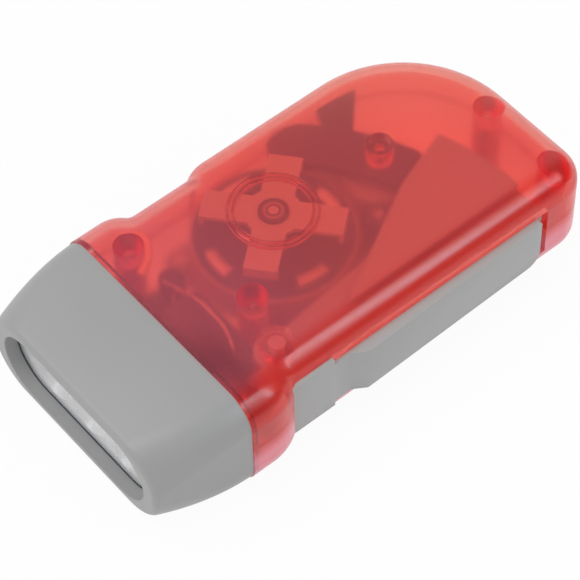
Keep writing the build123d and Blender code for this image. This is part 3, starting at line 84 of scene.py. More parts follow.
# %% A number that changes over a surface
class Number:
    def __init__(self, finish, socket):
        self.finish = finish
        self.socket = socket

    def combine(self, operation, first, second):
        return self.finish.node("ShaderNodeMath", {"operation": operation}, {0: first, 1: second})

    def __add__(self, other):
        return self.combine("ADD", self, other)

    __radd__ = __add__

    def __mul__(self, other):
        return self.combine("MULTIPLY", self, other)

    __rmul__ = __mul__

    def __sub__(self, other):
        return self.combine("SUBTRACT", self, other)

    def __rsub__(self, other):
        return self.combine("SUBTRACT", other, self)

    def above(self, limit):
        return self.combine("GREATER_THAN", self, limit)

    def larger(self, other):
        return self.combine("MAXIMUM", self, other)


# %% One finish and its nodes
NODES_IN_A_ROW = 8
COLUMN_STEP = 220
ROW_STEP = 320


class Finish:
    def __init__(self, name, owner=None):
        self.owner = owner or bpy.data.materials.new(name)
        self.owner.use_nodes = True
        self.tree = self.owner.node_tree
        self.tree.nodes.clear()
        self.count = 0

    def node(self, kind, settings=None, inputs=None, output=0):
        made = self.tree.nodes.new(kind)
        row, column = divmod(self.count, NODES_IN_A_ROW)
        made.location = (column * COLUMN_STEP, -row * ROW_STEP)
        self.count += 1
        for name, value in (settings or {}).items():
            setattr(made, name, value)
        for name, value in (inputs or {}).items():
            if isinstance(value, Number):
                self.tree.links.new(value.socket, made.inputs[name])
            else:
                made.inputs[name].default_value = value
        return Number(self, made.outputs[output]) if made.outputs else None

    def place(self):
        return self.node("ShaderNodeTexCoord", output="Object")

    def reach_along(self, axis):
        return self.node("ShaderNodeSeparateXYZ", inputs={0: self.place()}, output="XYZ".index(axis))

    def noise(self, scale, detail=2.0):
        values = {"Vector": self.place(), "Scale": scale, "Detail": detail}
        return self.node("ShaderNodeTexNoise", inputs=values)

    def ray(self, kind):
        return self.node("ShaderNodeLightPath", output="Is %s Ray" % kind)

    def blend(self, amount, first, second):
        return self.node("ShaderNodeMix", {"data_type": "RGBA"}, {0: amount, 6: first, 7: second}, 2)

    def bump(self, height, depth, strength):
        values = {"Height": height, "Distance": depth, "Strength": strength}
        return self.node("ShaderNodeBump", inputs=values)

    def ramp(self, value, start, end):
        limits = {0: value, 1: start, 2: end}
        return self.node("ShaderNodeMapRange", {"interpolation_type": "SMOOTHSTEP"}, limits)

    def vector(self, operation, inputs, output=0):
        return self.node("ShaderNodeVectorMath", {"operation": operation}, inputs, output)

    def surface(self, **values):
        named = {name.replace("_", " "): value for name, value in values.items()}
        return self.node("ShaderNodeBsdfPrincipled", inputs=named)

    def mix(self, amount, first, second):
        return self.node("ShaderNodeMixShader", inputs={0: amount, 1: first, 2: second})

    def done(self, shader, kind="ShaderNodeOutputMaterial"):
        self.node(kind, inputs={"Surface": shader})
        return self.owner


def colour(red, green, blue):
    return (red, green, blue, 1.0)


WHITE = colour(1, 1, 1)

# %% [markdown]
# ## The studio
# The photograph has a plain white ground and soft light. The floor shows white to the
# camera and still takes a soft shadow. The room is white to the camera and through clear
# plastic. To gloss it is dim on the near side and bright on the far side, which draws the
# dark bands along the case.

# %% Lay the floor
FLOOR_DROP = 0.3 * MM
SEEN_WHITE = 0.95
MIRRORED_WHITE = 0.9
THROUGH_WHITE = 0.72
bpy.ops.object.select_all(action="DESELECT")
bpy.ops.mesh.primitive_plane_add(size=6, location=(0, 0, -FLOOR_DROP))
floor = bpy.context.object
floor.name = "floor"
paper = Finish("floor_paper")
paper_tone = paper.blend(paper.noise(900), colour(.88, .88, .88), colour(.90, .90, .90))
matt = paper.node("ShaderNodeBsdfDiffuse", inputs={"Color": paper_tone})
glow = paper.node("ShaderNodeEmission", inputs={"Color": WHITE, "Strength": 1.0})
white = paper.ray("Camera") * SEEN_WHITE + paper.ray("Glossy") * MIRRORED_WHITE
white = white + paper.ray("Transmission") * THROUGH_WHITE
floor.data.materials.append(paper.done(paper.mix(white, matt, glow)))
print("floor:", len(paper.tree.nodes), "nodes")

# %% Light the room
SOFT_SHARE = 0.67
NEAR_GLOSS = 0.12
FAR_GLOSS = 0.72
GLOSS_START = -0.3
GLOSS_END = 0.25
world = bpy.data.worlds.new("room")
bpy.context.scene.world = world
air = Finish("room", world)
way = air.node("ShaderNodeTexCoord", output="Generated")
far_way = air.node("ShaderNodeSeparateXYZ", inputs={0: way}, output=1)
near_part = NEAR_GLOSS - SOFT_SHARE
far_part = FAR_GLOSS - SOFT_SHARE
limits = {0: far_way, 1: GLOSS_START, 2: GLOSS_END, 3: near_part, 4: far_part}
gloss = air.ray("Glossy") * air.node("ShaderNodeMapRange", inputs=limits)
strength = (air.ray("Camera") + air.ray("Transmission")) * (1 - SOFT_SHARE) + SOFT_SHARE + gloss
sky = air.node("ShaderNodeBackground", inputs={"Color": WHITE, "Strength": strength})
air.done(sky, "ShaderNodeOutputWorld")
print("room:", len(air.tree.nodes), "nodes")

# %% [markdown]
# ## Three lamps
# One bright strip draws a long streak along the near edge of the case. It is a window,
# a little green and blue, and it counts for gloss alone. A lamp at the side and one high
# up give the object its soft shape.

# %% Hang the lamps
AIM = Vector((0, 0, 10 * MM))


def lamp(name, place, width, height, power, tint=(1, 1, 1)):
    data = bpy.data.lights.new(name, "AREA")
    data.shape = "RECTANGLE"
    data.size = width
    data.size_y = height
    data.energy = power
    data.color = tint
    made = bpy.data.objects.new(name, data)
    bpy.context.scene.collection.objects.link(made)
    made.location = place
    made.rotation_euler = (AIM - Vector(place)).to_track_quat("-Z", "Y").to_euler()
    return made


window_lamp = lamp("window_lamp", (0.376, -0.64, 0.67), 0.11, 0.60, 2.1, (0.50, 0.90, 1.0))
window_lamp.visible_diffuse = False
window_lamp.visible_transmission = False
lamp("side_lamp", (0.3, -0.75, 0.55), 0.7, 0.5, 0.65)
lamp("high_lamp", (-0.5, 0.3, 1.1), 0.6, 0.6, 4.6)

# %% [markdown]
# ## Where the case differs
# The red of the case changes by place. Its near wall is seen edge on and looks deeper, so a
# deeper red is painted there as shade. The foot of that wall is paler and pinker, a painted
# reflection of the floor. The front has a cooler haze, partly the haze of the plastic and
# partly a painted sheen. The far corner by the tail is paler, and the case is darker towards
# the nose end. Each is a smooth ramp between two places, so it is written in millimetres
# along one axis.

# %% Find the parts of the case that differ
CORNER_ALONG, CORNER_ACROSS = 0.65, 0.76
red = Finish("clear_red_plastic")
along, across, up = (red.reach_along(axis) for axis in "XYZ")
# The near wall is seen edge on: the deeper red and red mist put on it are painted shade.
near_wall = red.ramp(across, -17.5 * MM, -21.5 * MM)
# The foot of the near wall is paler and pinker: a painted reflection of the floor.
low_wall_reflection = near_wall * red.ramp(up, 13.5 * MM, 8 * MM)
# The front gets a cooler haze: partly the haze of the plastic, partly a painted sheen.
front_haze_and_sheen = red.ramp(along, 4 * MM, -22 * MM)
far_corner = red.ramp(along * CORNER_ALONG + across * CORNER_ACROSS, 16 * MM, 44 * MM)
# The case is darker towards the nose end, on its near side.
nose_end_middle = red.ramp(across, 0.0, -14 * MM) * red.ramp(across, -23.5 * MM, -20.5 * MM)
nose_end_dark = red.ramp(along, -23.5 * MM, -28.5 * MM) * nose_end_middle
print("shades of the case:", len(red.tree.nodes), "nodes")

# %% [markdown]
# ## Clear red case
# The case is moulded in red plastic that is a little cloudy, so the works show through
# it softly. Glass alone looks too clean, and paint hides the works. Two surfaces are
# mixed: red glass with a fine roughness, and a thin red haze. Light on its way to the
# works goes straight through in the same red, which keeps the works lit. It passes the
# wall in two steps, in and out, so each step takes the square root of the red.

# %% Let light straight through a clear finish
def clear_to_light(finish, tint, body):
    straight = finish.node("ShaderNodeBsdfTransparent", inputs={"Color": tint})
    return finish.mix(finish.ray("Shadow").larger(finish.ray("Diffuse")), body, straight)


# %% Mix the clear red plastic
CLEAR_RED = colour(.995, .365, .28)
NEAR_WALL_SHADE_RED = colour(.99, .20, .15)
NOSE_END_RED = colour(.55, .10, .15)
RED_HAZE = 0.13
PLASTIC_IOR = 1.47
cloud = red.noise(60, 3)
fine = red.noise(1400)
ripple = red.bump(cloud * 0.7 + fine * 0.3, 0.06 * MM, 0.35)
# Deeper red on the near wall is painted shade; the red is also darker towards the nose end.
depth = red.blend(nose_end_dark * 0.85, red.blend(near_wall, CLEAR_RED, NEAR_WALL_SHADE_RED), NOSE_END_RED)
glass = red.surface(Base_Color=depth, Roughness=cloud * 0.05 + 0.2, Normal=ripple,
                    IOR=PLASTIC_IOR, Transmission_Weight=1.0)
mist_and_painted_tone = colour(.97, .07, .12)
# Mist tones by place: the front's cooler haze is partly haze and partly painted sheen, the far corner is
# paler, the near wall's deep red is painted shade, the pale pink at its foot is a painted reflection of the
# floor, and the nose end is darker.
for share, tone in ((front_haze_and_sheen * (cloud + 0.4), colour(.86, .11, .24)),
                    (far_corner * 0.8, colour(.99, .33, .30)),
                    (near_wall, colour(.86, .018, .028)),
                    (low_wall_reflection * 0.9, colour(.95, .36, .46)),
                    (nose_end_dark * 0.6, colour(.45, .03, .09))):
    mist_and_painted_tone = red.blend(share, mist_and_painted_tone, tone)
mist = red.surface(Base_Color=mist_and_painted_tone, Roughness=cloud * 0.1 + 0.18, Normal=ripple, IOR=PLASTIC_IOR)
# More mist on the near wall, and much more at its foot, carries the painted shade and the painted reflection.
haze = (cloud * 0.08 + RED_HAZE) * (near_wall * 0.4 + low_wall_reflection * 2.6 + 1)
half_wall = colour(*(math.sqrt(part) for part in CLEAR_RED[:3]))
red_shell = red.done(clear_to_light(red, half_wall, red.mix(haze, glass, mist)))
print("red case:", len(red.tree.nodes), "nodes")

# %% [markdown]
# ## The other finishes
# Grey plastic is moulded with a fine spark texture. Metals are bright or dull by their
# roughness. Each has fine grain in its bump and a slow change in colour, since no
# moulding or plating is even.

# %% Mix the plain finishes
def uneven(finish, amount, tone, spread):
    dark = colour(*(part * (1 - spread) for part in tone))
    light = colour(*(min(1, part * (1 + spread)) for part in tone))
    return finish.blend(amount, dark, light)


def plastic(name, tone, roughness):
    finish = Finish(name)
    slow = finish.noise(35, 3)
    grain = finish.bump(finish.noise(2600), 0.02 * MM, 0.5)
    skin = finish.surface(Base_Color=uneven(finish, slow, tone, 0.06), Normal=grain, IOR=1.5,
                          Roughness=slow * 0.12 + (roughness - 0.06))
    return finish.done(skin)


def metal(name, tone, roughness):
    finish = Finish(name)
    slow = finish.noise(90, 4)
    grain = finish.bump(finish.noise(1800, 3), 0.01 * MM, 0.4)
    skin = finish.surface(Base_Color=uneven(finish, slow, tone, 0.08), Normal=grain, Metallic=1.0,
                          Roughness=slow * 0.1 + (roughness - 0.05))
    return finish.done(skin)


def glassy(name, clear, roughness, haze):
    finish = Finish(name)
    slow = finish.noise(120)
    body = finish.surface(Base_Color=clear, Roughness=slow * 0.02 + roughness, IOR=1.49,
                          Normal=finish.bump(slow, 0.02 * MM, 0.3), Transmission_Weight=1.0)
    mist = finish.surface(Base_Color=colour(.92, .92, .93), Roughness=0.3)
    return finish.done(clear_to_light(finish, clear, finish.mix(slow * 0.02 + haze, body, mist)))


# %% Name every finish
finishes = {
    "red_shell": red_shell,
    "grey_plastic": plastic("grey_plastic", (.36, .36, .36), 0.42),
    "lever_grey": plastic("lever_grey", (.415, .415, .415), 0.42),
    "clear_lens": glassy("lens_acrylic", colour(.985, .985, .99), 0.03, 0.1),
    "lamp_clear": glassy("lamp_epoxy", colour(.95, .95, .97), 0.03, 0.05),
    "steel": metal("bright_steel", (.62, .62, .63), 0.28),
    "board_green": plastic("board_green", (.05, .20, .08), 0.45),
    "cell_steel": metal("cell_steel", (.70, .69, .67), 0.25),
    "sleeve_film": plastic("sleeve_film", (.05, .05, .06), 0.35),
    "dark_part": plastic("dark_resin", (.028, .036, .055), 0.4),
    "claw_steel": metal("claw_steel", (.42, .42, .43), 0.4),
    "bobbin_plastic": plastic("bobbin_plastic", (.12, .11, .10), 0.45),
    "copper": metal("enamelled_copper", (.80, .36, .18), 0.3),
    "pale_plastic": plastic("pale_plastic", (.50, .49, .47), 0.4),
    "dark_plastic": plastic("dark_plastic", (.028, .05, .095), 0.38),
    "amber_wire": plastic("amber_cover", (.95, .60, .20), 0.35),
    "weight": metal("zinc_weight", (.86, .80, .74), 0.3),
    "plate_plastic": plastic("plate_plastic", (.30, .28, .27), 0.45),
    "magnet": metal("magnet_grey", (.16, .20, .27), 0.5),
    "bronze": metal("bush_bronze", (.62, .42, .22), 0.35),
    "red_wire": plastic("wire_cover", (.50, .03, .03), 0.4),
}
print("finishes:", len(finishes))

# %% [markdown]
# ## Plated cups
# The cups behind the lamps are plated plastic: bright and fairly smooth inside, with a
# stippled skin. The flat land round them is duller, so the roughness steps where a spot
# lies behind the front of the land.

# %% Mix the plated finish
LAND_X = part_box("reflector")[0].x + 0.05 * MM
CUP_ROUGHNESS = 0.2
LAND_ROUGHNESS = 0.5
CUP_TONE = 0.98
plated = Finish("metallised_cups")
in_cup = plated.reach_along("X").above(LAND_X)
stipple = plated.node("ShaderNodeTexVoronoi", inputs={"Vector": plated.place(), "Scale": 1500.0})
slow = plated.noise(300, 3)
plated_tone = plated.blend(slow, colour(*[0.95 * CUP_TONE] * 3), colour(*[CUP_TONE] * 3))
plated_roughness = in_cup * (CUP_ROUGHNESS - LAND_ROUGHNESS) + LAND_ROUGHNESS + slow * 0.06
plated_skin = plated.surface(Base_Color=plated_tone, Metallic=0.25, Roughness=plated_roughness,
                             Normal=plated.bump(stipple * 0.6 + slow, 0.08 * MM, 0.5))
finishes["cup_mirror"] = plated.done(plated_skin)
print("the cups begin at x:", round(LAND_X / MM, 2))

# %% [markdown]
# ## Flywheel and its bush
# The flywheel is dark, and a paler ring on its rounded rim is a painted highlight, so the
# finish looks at how far a spot lies from the shaft: the length of a place with its height
# taken out. The upper bush is nearly black with a lighter ring round the shaft.

# %% Finishes that change with the distance from the shaft
wheel_low, wheel_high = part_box("flywheel")
dynamo_x = (wheel_low.x + wheel_high.x) / 2
dynamo_y = (wheel_low.y + wheel_high.y) / 2
wheel_radius = (wheel_high.x - wheel_low.x) / 2
RING_EDGE_IN = 0.2 * MM
RING_EDGE_OUT = 0.3 * MM


def ringed(name, base, ring, inner, outer, roughness):
    finish = Finish(name)
    from_shaft = finish.vector("SUBTRACT", {0: finish.place(), 1: (dynamo_x, dynamo_y, 0)})
    level = finish.vector("MULTIPLY", {0: from_shaft, 1: (1, 1, 0)})
    distance = finish.vector("LENGTH", {0: level}, 1)
    slow = finish.noise(80, 3)
    wander = slow * 0.0004 - 0.0002 + distance
    inside = finish.ramp(wander, inner - RING_EDGE_OUT, inner + RING_EDGE_IN)
    outside = finish.ramp(wander, outer - RING_EDGE_IN, outer + RING_EDGE_OUT)
    base_tone = finish.blend(slow, colour(*(0.9 * part for part in base)), colour(*base))
    tone = finish.blend(inside * (1 - outside), base_tone, colour(*ring))
    skin = finish.surface(Base_Color=tone, Roughness=slow * 0.15 + roughness,
                          Normal=finish.bump(finish.noise(2400), 0.02 * MM, 0.4))
    return finish.done(skin)


# The pale ring at the rim of the flywheel is a painted highlight.
finishes["wheel"] = ringed("flywheel_resin", (.03, .055, .10), (.42, .30, .26),
                           wheel_radius - 0.5 * MM, wheel_radius + 1.0 * MM, 0.35)
# The bush is nearly black with a lighter ring round the shaft.
finishes["bush"] = ringed("dark_ringed_bush", (.03, .04, .06), (.30, .24, .22), 1.4 * MM, 1.9 * MM, 0.3)
print("flywheel radius:", round(wheel_radius / MM, 2))

# %% Give every measured piece its finish
for piece in nodes.values():
    for held in piece.material_slots:
        held.material = finishes[held.material.name.split(".")[0]]
nodes["flywheel"].material_slots[0].material = finishes["wheel"]
nodes["upper_bush"].material_slots[0].material = finishes["bush"]
print("finished:", sorted(nodes))

# %% [markdown]
# ## Working by hand
# The measured model gives every piece its place and size. What a close look asks for,
# such as a drive in a screw or the turns of a winding, is modelled here as one would do
# it by hand: a primitive is put in place, faces are picked and pushed, modifiers are
# applied. A few helpers keep that short. `pick` stands in for a click: it selects faces
# or edges by where they are and where they point.

# %% Helpers that begin and pick
def deselect():
    if bpy.context.object and bpy.context.object.mode != "OBJECT":
        bpy.ops.object.mode_set(mode="OBJECT")
    bpy.ops.object.select_all(action="DESELECT")


def focus(piece):
    deselect()
    bpy.context.view_layer.objects.active = piece
    piece.select_set(True)


def begin(name, kind, stretch=(1, 1, 1), **size):
    deselect()
    getattr(bpy.ops.mesh, "primitive_" + kind + "_add")(**size)
    piece = bpy.context.object
    piece.name = name
    piece.data.name = name
    piece.scale = stretch
    bpy.ops.object.transform_apply(location=True, rotation=True, scale=True)
    return piece


def pick(piece, wanted, kind="FACE"):
    focus(piece)
    bpy.ops.object.mode_set(mode="EDIT")
    bpy.ops.mesh.select_mode(type=kind)
    bpy.ops.mesh.select_all(action="DESELECT")
    shape = bmesh.from_edit_mesh(piece.data)
    shape.normal_update()
    if kind == "FACE":
        for face in shape.faces:
            face.select_set(bool(wanted(face.calc_center_median(), face.normal)))
    else:
        for edge in shape.edges:
            first, second = edge.verts[0].co, edge.verts[1].co
            edge.select_set(bool(wanted((first + second) / 2, (second - first).normalized())))
    bmesh.update_edit_mesh(piece.data)


def leave():
    bpy.ops.object.mode_set(mode="OBJECT")


# %% Helpers that push, cut and round
def inset(width):
    bpy.ops.mesh.inset(thickness=width, depth=0)


def shift(x, y, z):
    bpy.ops.transform.translate(value=(x, y, z))


def draw_out(x, y, z):
    bpy.ops.mesh.extrude_region_move(TRANSFORM_OT_translate={"value": (x, y, z)})


def apply(piece, kind, **settings):
    focus(piece)
    made = piece.modifiers.new(kind.lower(), kind)
    for name, value in settings.items():
        setattr(made, name, value)
    bpy.ops.object.modifier_apply(modifier=made.name)


def round_edges(piece, width, segments=2, turn=50, **settings):
    apply(piece, "BEVEL", width=width, segments=segments, limit_method="ANGLE",
          angle_limit=math.radians(turn), **settings)


def cut_away(piece, tool):
    apply(piece, "BOOLEAN", operation="DIFFERENCE", object=tool, solver="EXACT")
    bpy.data.objects.remove(tool)


# %% Helpers that copy, join and complete
def join(pieces, name):
    deselect()
    for piece in pieces:
        piece.select_set(True)
    bpy.context.view_layer.objects.active = pieces[0]
    bpy.ops.object.join()
    pieces[0].name = name
    pieces[0].data.name = name
    return pieces[0]


def copy_to(piece, moves):
    copies = [piece]
    for move in moves:
        twin = piece.copy()
        twin.data = piece.data.copy()
        bpy.context.scene.collection.objects.link(twin)
        twin.data.transform(move if isinstance(move, Matrix) else Matrix.Translation(move))
        copies.append(twin)
    return copies


def complete(piece, body, finish, stands_for=(), sharp=35):
    focus(piece)
    bpy.ops.object.mode_set(mode="EDIT")
    bpy.ops.mesh.select_all(action="SELECT")
    bpy.ops.mesh.remove_doubles(threshold=1e-7)
    bpy.ops.mesh.normals_make_consistent(inside=False)
    leave()
    bpy.ops.object.shade_smooth_by_angle(angle=math.radians(sharp))
    piece.data.materials.clear()
    piece.data.materials.append(finishes[finish])
    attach(piece, body)
    if stands_for:
        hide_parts(*stands_for)
    print(piece.name, "faces:", len(piece.data.polygons), "stands for:", list(stands_for))


# %% [markdown]
# ## Lever with eased edges
# The squeeze lever is a moulding, and every edge of a moulding has a small radius that
# catches light. The measured lever has crisp edges, so a merged copy of it gets a bevel
# on each edge that turns sharply, and the copy stands for it.

# %% Ease the lever's edges
LEVER_EASE = 0.4 * MM
LEVER_SHARP = 38
lever_body = nodes["squeeze_lever"].copy()
lever_body.data = nodes["squeeze_lever"].data.copy()
for key in list(lever_body.keys()):
    del lever_body[key]
lever_body.parent = None
lever_body.name = "lever_eased"
lever_body.data.name = "lever_eased"
bpy.context.scene.collection.objects.link(lever_body)
focus(lever_body)
bpy.ops.object.mode_set(mode="EDIT")
bpy.ops.mesh.customdata_custom_splitnormals_clear()
bpy.ops.mesh.select_all(action="SELECT")
bpy.ops.mesh.remove_doubles(threshold=1e-6)
bpy.ops.mesh.dissolve_limited(angle_limit=math.radians(0.4))
leave()
round_edges(lever_body, LEVER_EASE, 2, LEVER_SHARP, use_clamp_overlap=True, loop_slide=True)
complete(lever_body, "lever", "lever_grey", ["squeeze_lever"], 50)

# %% [markdown]
# ## Plate over the sector's root
# The toothed sector is riveted to the web of the lever, and a grey plate covers the
# rivets, so from above the dark sector ends in a straight line. The plate is a disc
# round the pivot, cut three times, and its edge is bevelled.

# %% Cut the cover plate
PLATE_LOW = 17.45 * MM
PLATE_HIGH = 18.0 * MM
PLATE_REACH = 58.6 * MM
PLATE_NEAR_Y = -15.8 * MM
EDGE_ANGLE = 19.1
pin_low, pin_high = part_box("pivot_pin")
pivot = Vector((*((pin_low + pin_high) / 2).xy, 0))
print("lever pivot:", [round(part / MM, 2) for part in pivot])


def around(reach, angle):
    return pivot + reach * Vector((math.cos(math.radians(angle)), math.sin(math.radians(angle)), 0))


plate = begin("root_plate", "cylinder", vertices=240, radius=PLATE_REACH, depth=PLATE_HIGH - PLATE_LOW,
              location=(pivot.x, pivot.y, (PLATE_LOW + PLATE_HIGH) / 2))
corner = around(44.8 * MM, EDGE_ANGLE)
upper_side = Vector((-math.sin(math.radians(EDGE_ANGLE)), math.cos(math.radians(EDGE_ANGLE)), 0))
inner_line = corner - around(29.6 * MM, 14.0)
inner_side = Vector((-inner_line.y, inner_line.x, 0)).normalized()
near_spot = Vector((0, PLATE_NEAR_Y, 0))
near_side = Vector((0, -1, 0))
for spot, away in ((pivot, upper_side), (corner, inner_side), (near_spot, near_side)):
    pick(plate, lambda middle, normal: True)
    bpy.ops.mesh.bisect(plane_co=spot, plane_no=away, use_fill=True, clear_outer=True)
    leave()
round_edges(plate, 0.12 * MM)
complete(plate, "lever", "lever_grey")

# %% [markdown]
# ## Lens
# The window is a clear plate with a slightly thinner rim and a small bevel all round.
# It sits a hair in front of the reflector, as two clear faces that touch would look black.
# It has a stadium shape, so a disc is made and its two halves are moved apart.

# %% Make the lens
LENS_DEPTH = 0.95 * MM
RIM_WIDTH = 1.0 * MM
RIM_STEP = 0.12 * MM
lens_low, lens_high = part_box("front_lens")
mid_z = (lens_low.z + lens_high.z) / 2
lens_half_width = (lens_high.y - lens_low.y) / 2
lens_half_height = (lens_high.z - lens_low.z) / 2
ALONG_X = (0, math.pi / 2, 0)


def stadium(name, front_x, depth, half_width, half_height):
    piece = begin(name, "cylinder", vertices=96, radius=half_height, depth=depth,
                  location=(front_x + depth / 2, 0, mid_z), rotation=ALONG_X)
    for side in (1, -1):
        pick(piece, lambda middle, way: middle.y * side > 1e-6, "EDGE")
        shift(0, side * (half_width - half_height), 0)
        leave()
    return piece


window = stadium("lens_window", lens_low.x, LENS_DEPTH, lens_half_width, lens_half_height)
pick(window, lambda middle, normal: normal.x < -0.9)
inset(RIM_WIDTH)
shift(-RIM_STEP, 0, 0)
leave()
round_edges(window, 0.1 * MM)
complete(window, "housing", "clear_lens", ["front_lens"])

# %% [markdown]
# ## Gasket round the lens
# A thin dark ring seals the clear window. It shows as a fine dark line along the lower
# edge of the window. The faces of a thin stadium are inset, and the two inner faces are
# bridged, which opens the middle.

# %% Make the lens gasket
GASKET_DEPTH = 0.3 * MM
GASKET_WIDTH = 0.22 * MM
gasket = stadium("lens_gasket", lens_low.x - GASKET_DEPTH, GASKET_DEPTH, lens_half_width - 1.3 * MM,
                 lens_half_height - 0.8 * MM)
pick(gasket, lambda middle, normal: abs(normal.x) > 0.9)
inset(GASKET_WIDTH)
bpy.ops.mesh.bridge_edge_loops()
leave()
complete(gasket, "housing", "dark_part")

# %% [markdown]
# ## Where repeated pieces stand
# Three lamps share one node of the measured model, and so do four screws. The corners of
# such a node fall into groups, one to a piece, and the middle of a group is the place of
# its piece.

# %% Find the middles of repeated pieces
def centres_of(node, reach):
    found = []
    for corner in nodes[node].data.vertices:
        near = [group for group in found if (group[0].xy - corner.co.xy).length < reach]
        if near:
            near[0].append(corner.co.copy())
        else:
            found.append([corner.co.copy()])
    middles = []
    for group in found:
        low = Vector(min(corner[axis] for corner in group) for axis in range(3))
        high = Vector(max(corner[axis] for corner in group) for axis in range(3))
        middles.append((low + high) / 2)
    return middles


lamp_places = sorted(centres_of("lamps", 7 * MM), key=lambda place: place.y)
print("lamps stand at y:", [round(place.y / MM, 2) for place in lamp_places])

# %% [markdown]
# ## Inside the lamps
# Each lamp is a clear moulding round two metal legs. The wider leg ends in a small
# cup that holds the chip. This is what one sees through the dome.

# %% Make the lamp frames
ANVIL_SIDE = -0.55 * MM
POST_SIDE = 0.85 * MM
lamp_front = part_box("lamps")[0].x
first_lamp = lamp_places[0]
cup = begin("anvil", "cylinder", vertices=24, radius=0.75 * MM, depth=1.6 * MM,
            location=(lamp_front + 2.9 * MM, first_lamp.y + ANVIL_SIDE, mid_z), rotation=ALONG_X)
pick(cup, lambda middle, normal: normal.x < -0.9)
inset(0.15 * MM)
draw_out(0.35 * MM, 0, 0)
bpy.ops.transform.resize(value=(1, 0.6, 0.6))
pick(cup, lambda middle, normal: normal.x > 0.9)
inset(0.4 * MM)
draw_out(1.4 * MM, 0, 0)
post = begin("post", "cylinder", vertices=16, radius=0.3 * MM, depth=3.0 * MM,
             location=(lamp_front + 3.6 * MM, first_lamp.y + POST_SIDE, mid_z), rotation=ALONG_X)
pick(post, lambda middle, normal: normal.x < -0.9)
draw_out(-0.25 * MM, -0.15 * MM, 0)
bpy.ops.transform.resize(value=(1, 0.5, 0.5))
leave()
lamp_frame = join([cup, post], "lamp_frame")
steps = [Vector((0, place.y - first_lamp.y, 0)) for place in lamp_places[1:]]
lamp_frames = join(copy_to(lamp_frame, steps), "lamp_frames")
complete(lamp_frames, "housing", "steel")

# %% [markdown]
# ## Weights in the flywheel
# The flywheel has four kidney slots with pale balance weights pressed in. They show as
# light blocks between the arms of the cross. A small upright rectangle is spun along an
# arc round the shaft, which gives the curved block. Its edges are bevelled, and it is
# turned round the shaft for the other three.

# %% Make the balance weights
KIDNEY_RADIUS = 12.4 * MM
KIDNEY_AIM = math.radians(-5)
WEIGHT_HALF = math.radians(14.5)
WEIGHT_MIDDLE = wheel_high.z - 0.2 * MM
WEIGHT_ACROSS = 2.2
WEIGHT_TALL = 2.0
shaft = Vector((dynamo_x, dynamo_y, 0))
start_angle = KIDNEY_AIM + WEIGHT_HALF
aim = Vector((math.cos(start_angle), math.sin(start_angle), 0))
start_place = shaft + KIDNEY_RADIUS * aim + Vector((0, 0, WEIGHT_MIDDLE))
weight = begin("weight", "plane", (WEIGHT_ACROSS, WEIGHT_TALL, 1), size=1 * MM, location=start_place,
               rotation=(math.pi / 2, 0, start_angle))
pick(weight, lambda middle, normal: True)
bpy.ops.mesh.spin(steps=8, angle=2 * WEIGHT_HALF, center=shaft, axis=(0, 0, 1))
bpy.ops.mesh.select_all(action="SELECT")
bpy.ops.mesh.normals_make_consistent(inside=False)
leave()
round_edges(weight, 0.25 * MM)
to_shaft = Matrix.Translation(shaft)
turns = [Matrix.Rotation(index * math.pi / 2, 4, "Z") for index in (1, 2, 3)]
quarters = [to_shaft @ quarter @ to_shaft.inverted() for quarter in turns]
balance = join(copy_to(weight, quarters), "balance_weights")
complete(balance, "rotor", "weight")

# %% [markdown]
# ## Winding
# The coil of the dynamo is hundreds of turns of fine enamelled wire. Only the outer
# layer can be seen, so one layer of turns lies over a plain core. One turn is a thin
# ring, made as a torus, and each copy sits one wire higher.

# %% Wind the coil
WIRE = 0.3 * MM
CORE_BORE = 4.3 * MM
coil_low, coil_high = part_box("winding")
coil_height = coil_high.z - coil_low.z
coil_radius = (coil_high.x - coil_low.x) / 2
core_radius = coil_radius - WIRE * 0.6
core = begin("coil_core", "cylinder", vertices=64, radius=core_radius, depth=coil_height,
             location=(dynamo_x, dynamo_y, (coil_low.z + coil_high.z) / 2))
pick(core, lambda middle, normal: abs(normal.z) > 0.9)
inset(core_radius - CORE_BORE)
bpy.ops.mesh.bridge_edge_loops()
leave()
turn_ring = begin("coil_turn", "torus", major_radius=coil_radius - WIRE / 2, minor_radius=WIRE / 2,
                  major_segments=56, minor_segments=6, location=(dynamo_x, dynamo_y, coil_low.z + WIRE / 2))
rings = copy_to(turn_ring, [Vector((0, 0, WIRE * step)) for step in range(1, int(coil_height / WIRE))])
coil = join([core] + rings, "winding_turns")
complete(coil, "housing", "copper", ["winding"])

# %% [markdown]
# ## Smoothing capacitor
# A small can in a printed sleeve: the sleeve is rolled over the top edge, and the bare
# metal in the middle has a pressed cross that lets it open safely. The roll is an inset
# and a small drop, and the cross is cut in with a boolean. A cross is a small cube with
# its four sides drawn out, and the screws use one too.

# %% Make the capacitor
def cross_tool(name, size, arm, place):
    tool = begin(name, "cube", size=size, location=place)
    for side_x, side_y in ((1, 0), (-1, 0), (0, 1), (0, -1)):
        pick(tool, lambda middle, normal: normal.x * side_x + normal.y * side_y > 0.9)
        draw_out(side_x * arm, side_y * arm, 0)
    leave()
    return tool


can_low, can_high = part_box("capacitor")
can_middle = (can_low + can_high) / 2
can = begin("capacitor_can", "cylinder", vertices=48, radius=(can_high.x - can_low.x) / 2,
            depth=can_high.z - can_low.z, location=can_middle)
round_edges(can, 0.35 * MM, 3)
pick(can, lambda middle, normal: normal.z > 0.99)
inset(0.25 * MM)
draw_out(0, 0, -0.18 * MM)
leave()
cross_place = (can_middle.x, can_middle.y, can_high.z - 0.13 * MM)
cut_away(can, cross_tool("cross_cut", 0.22 * MM, 1.1 * MM, cross_place))
complete(can, "housing", "dark_part", ["capacitor"])

# %% [markdown]
# ## Screws
# The case is held by four screws from below. A screw for plastic has a rounded head
# with a cross drive and a coarse thread. Rings that swell and shrink along the shank
# read as a thread through the cloudy plastic. The drive is a cross cut into the head.

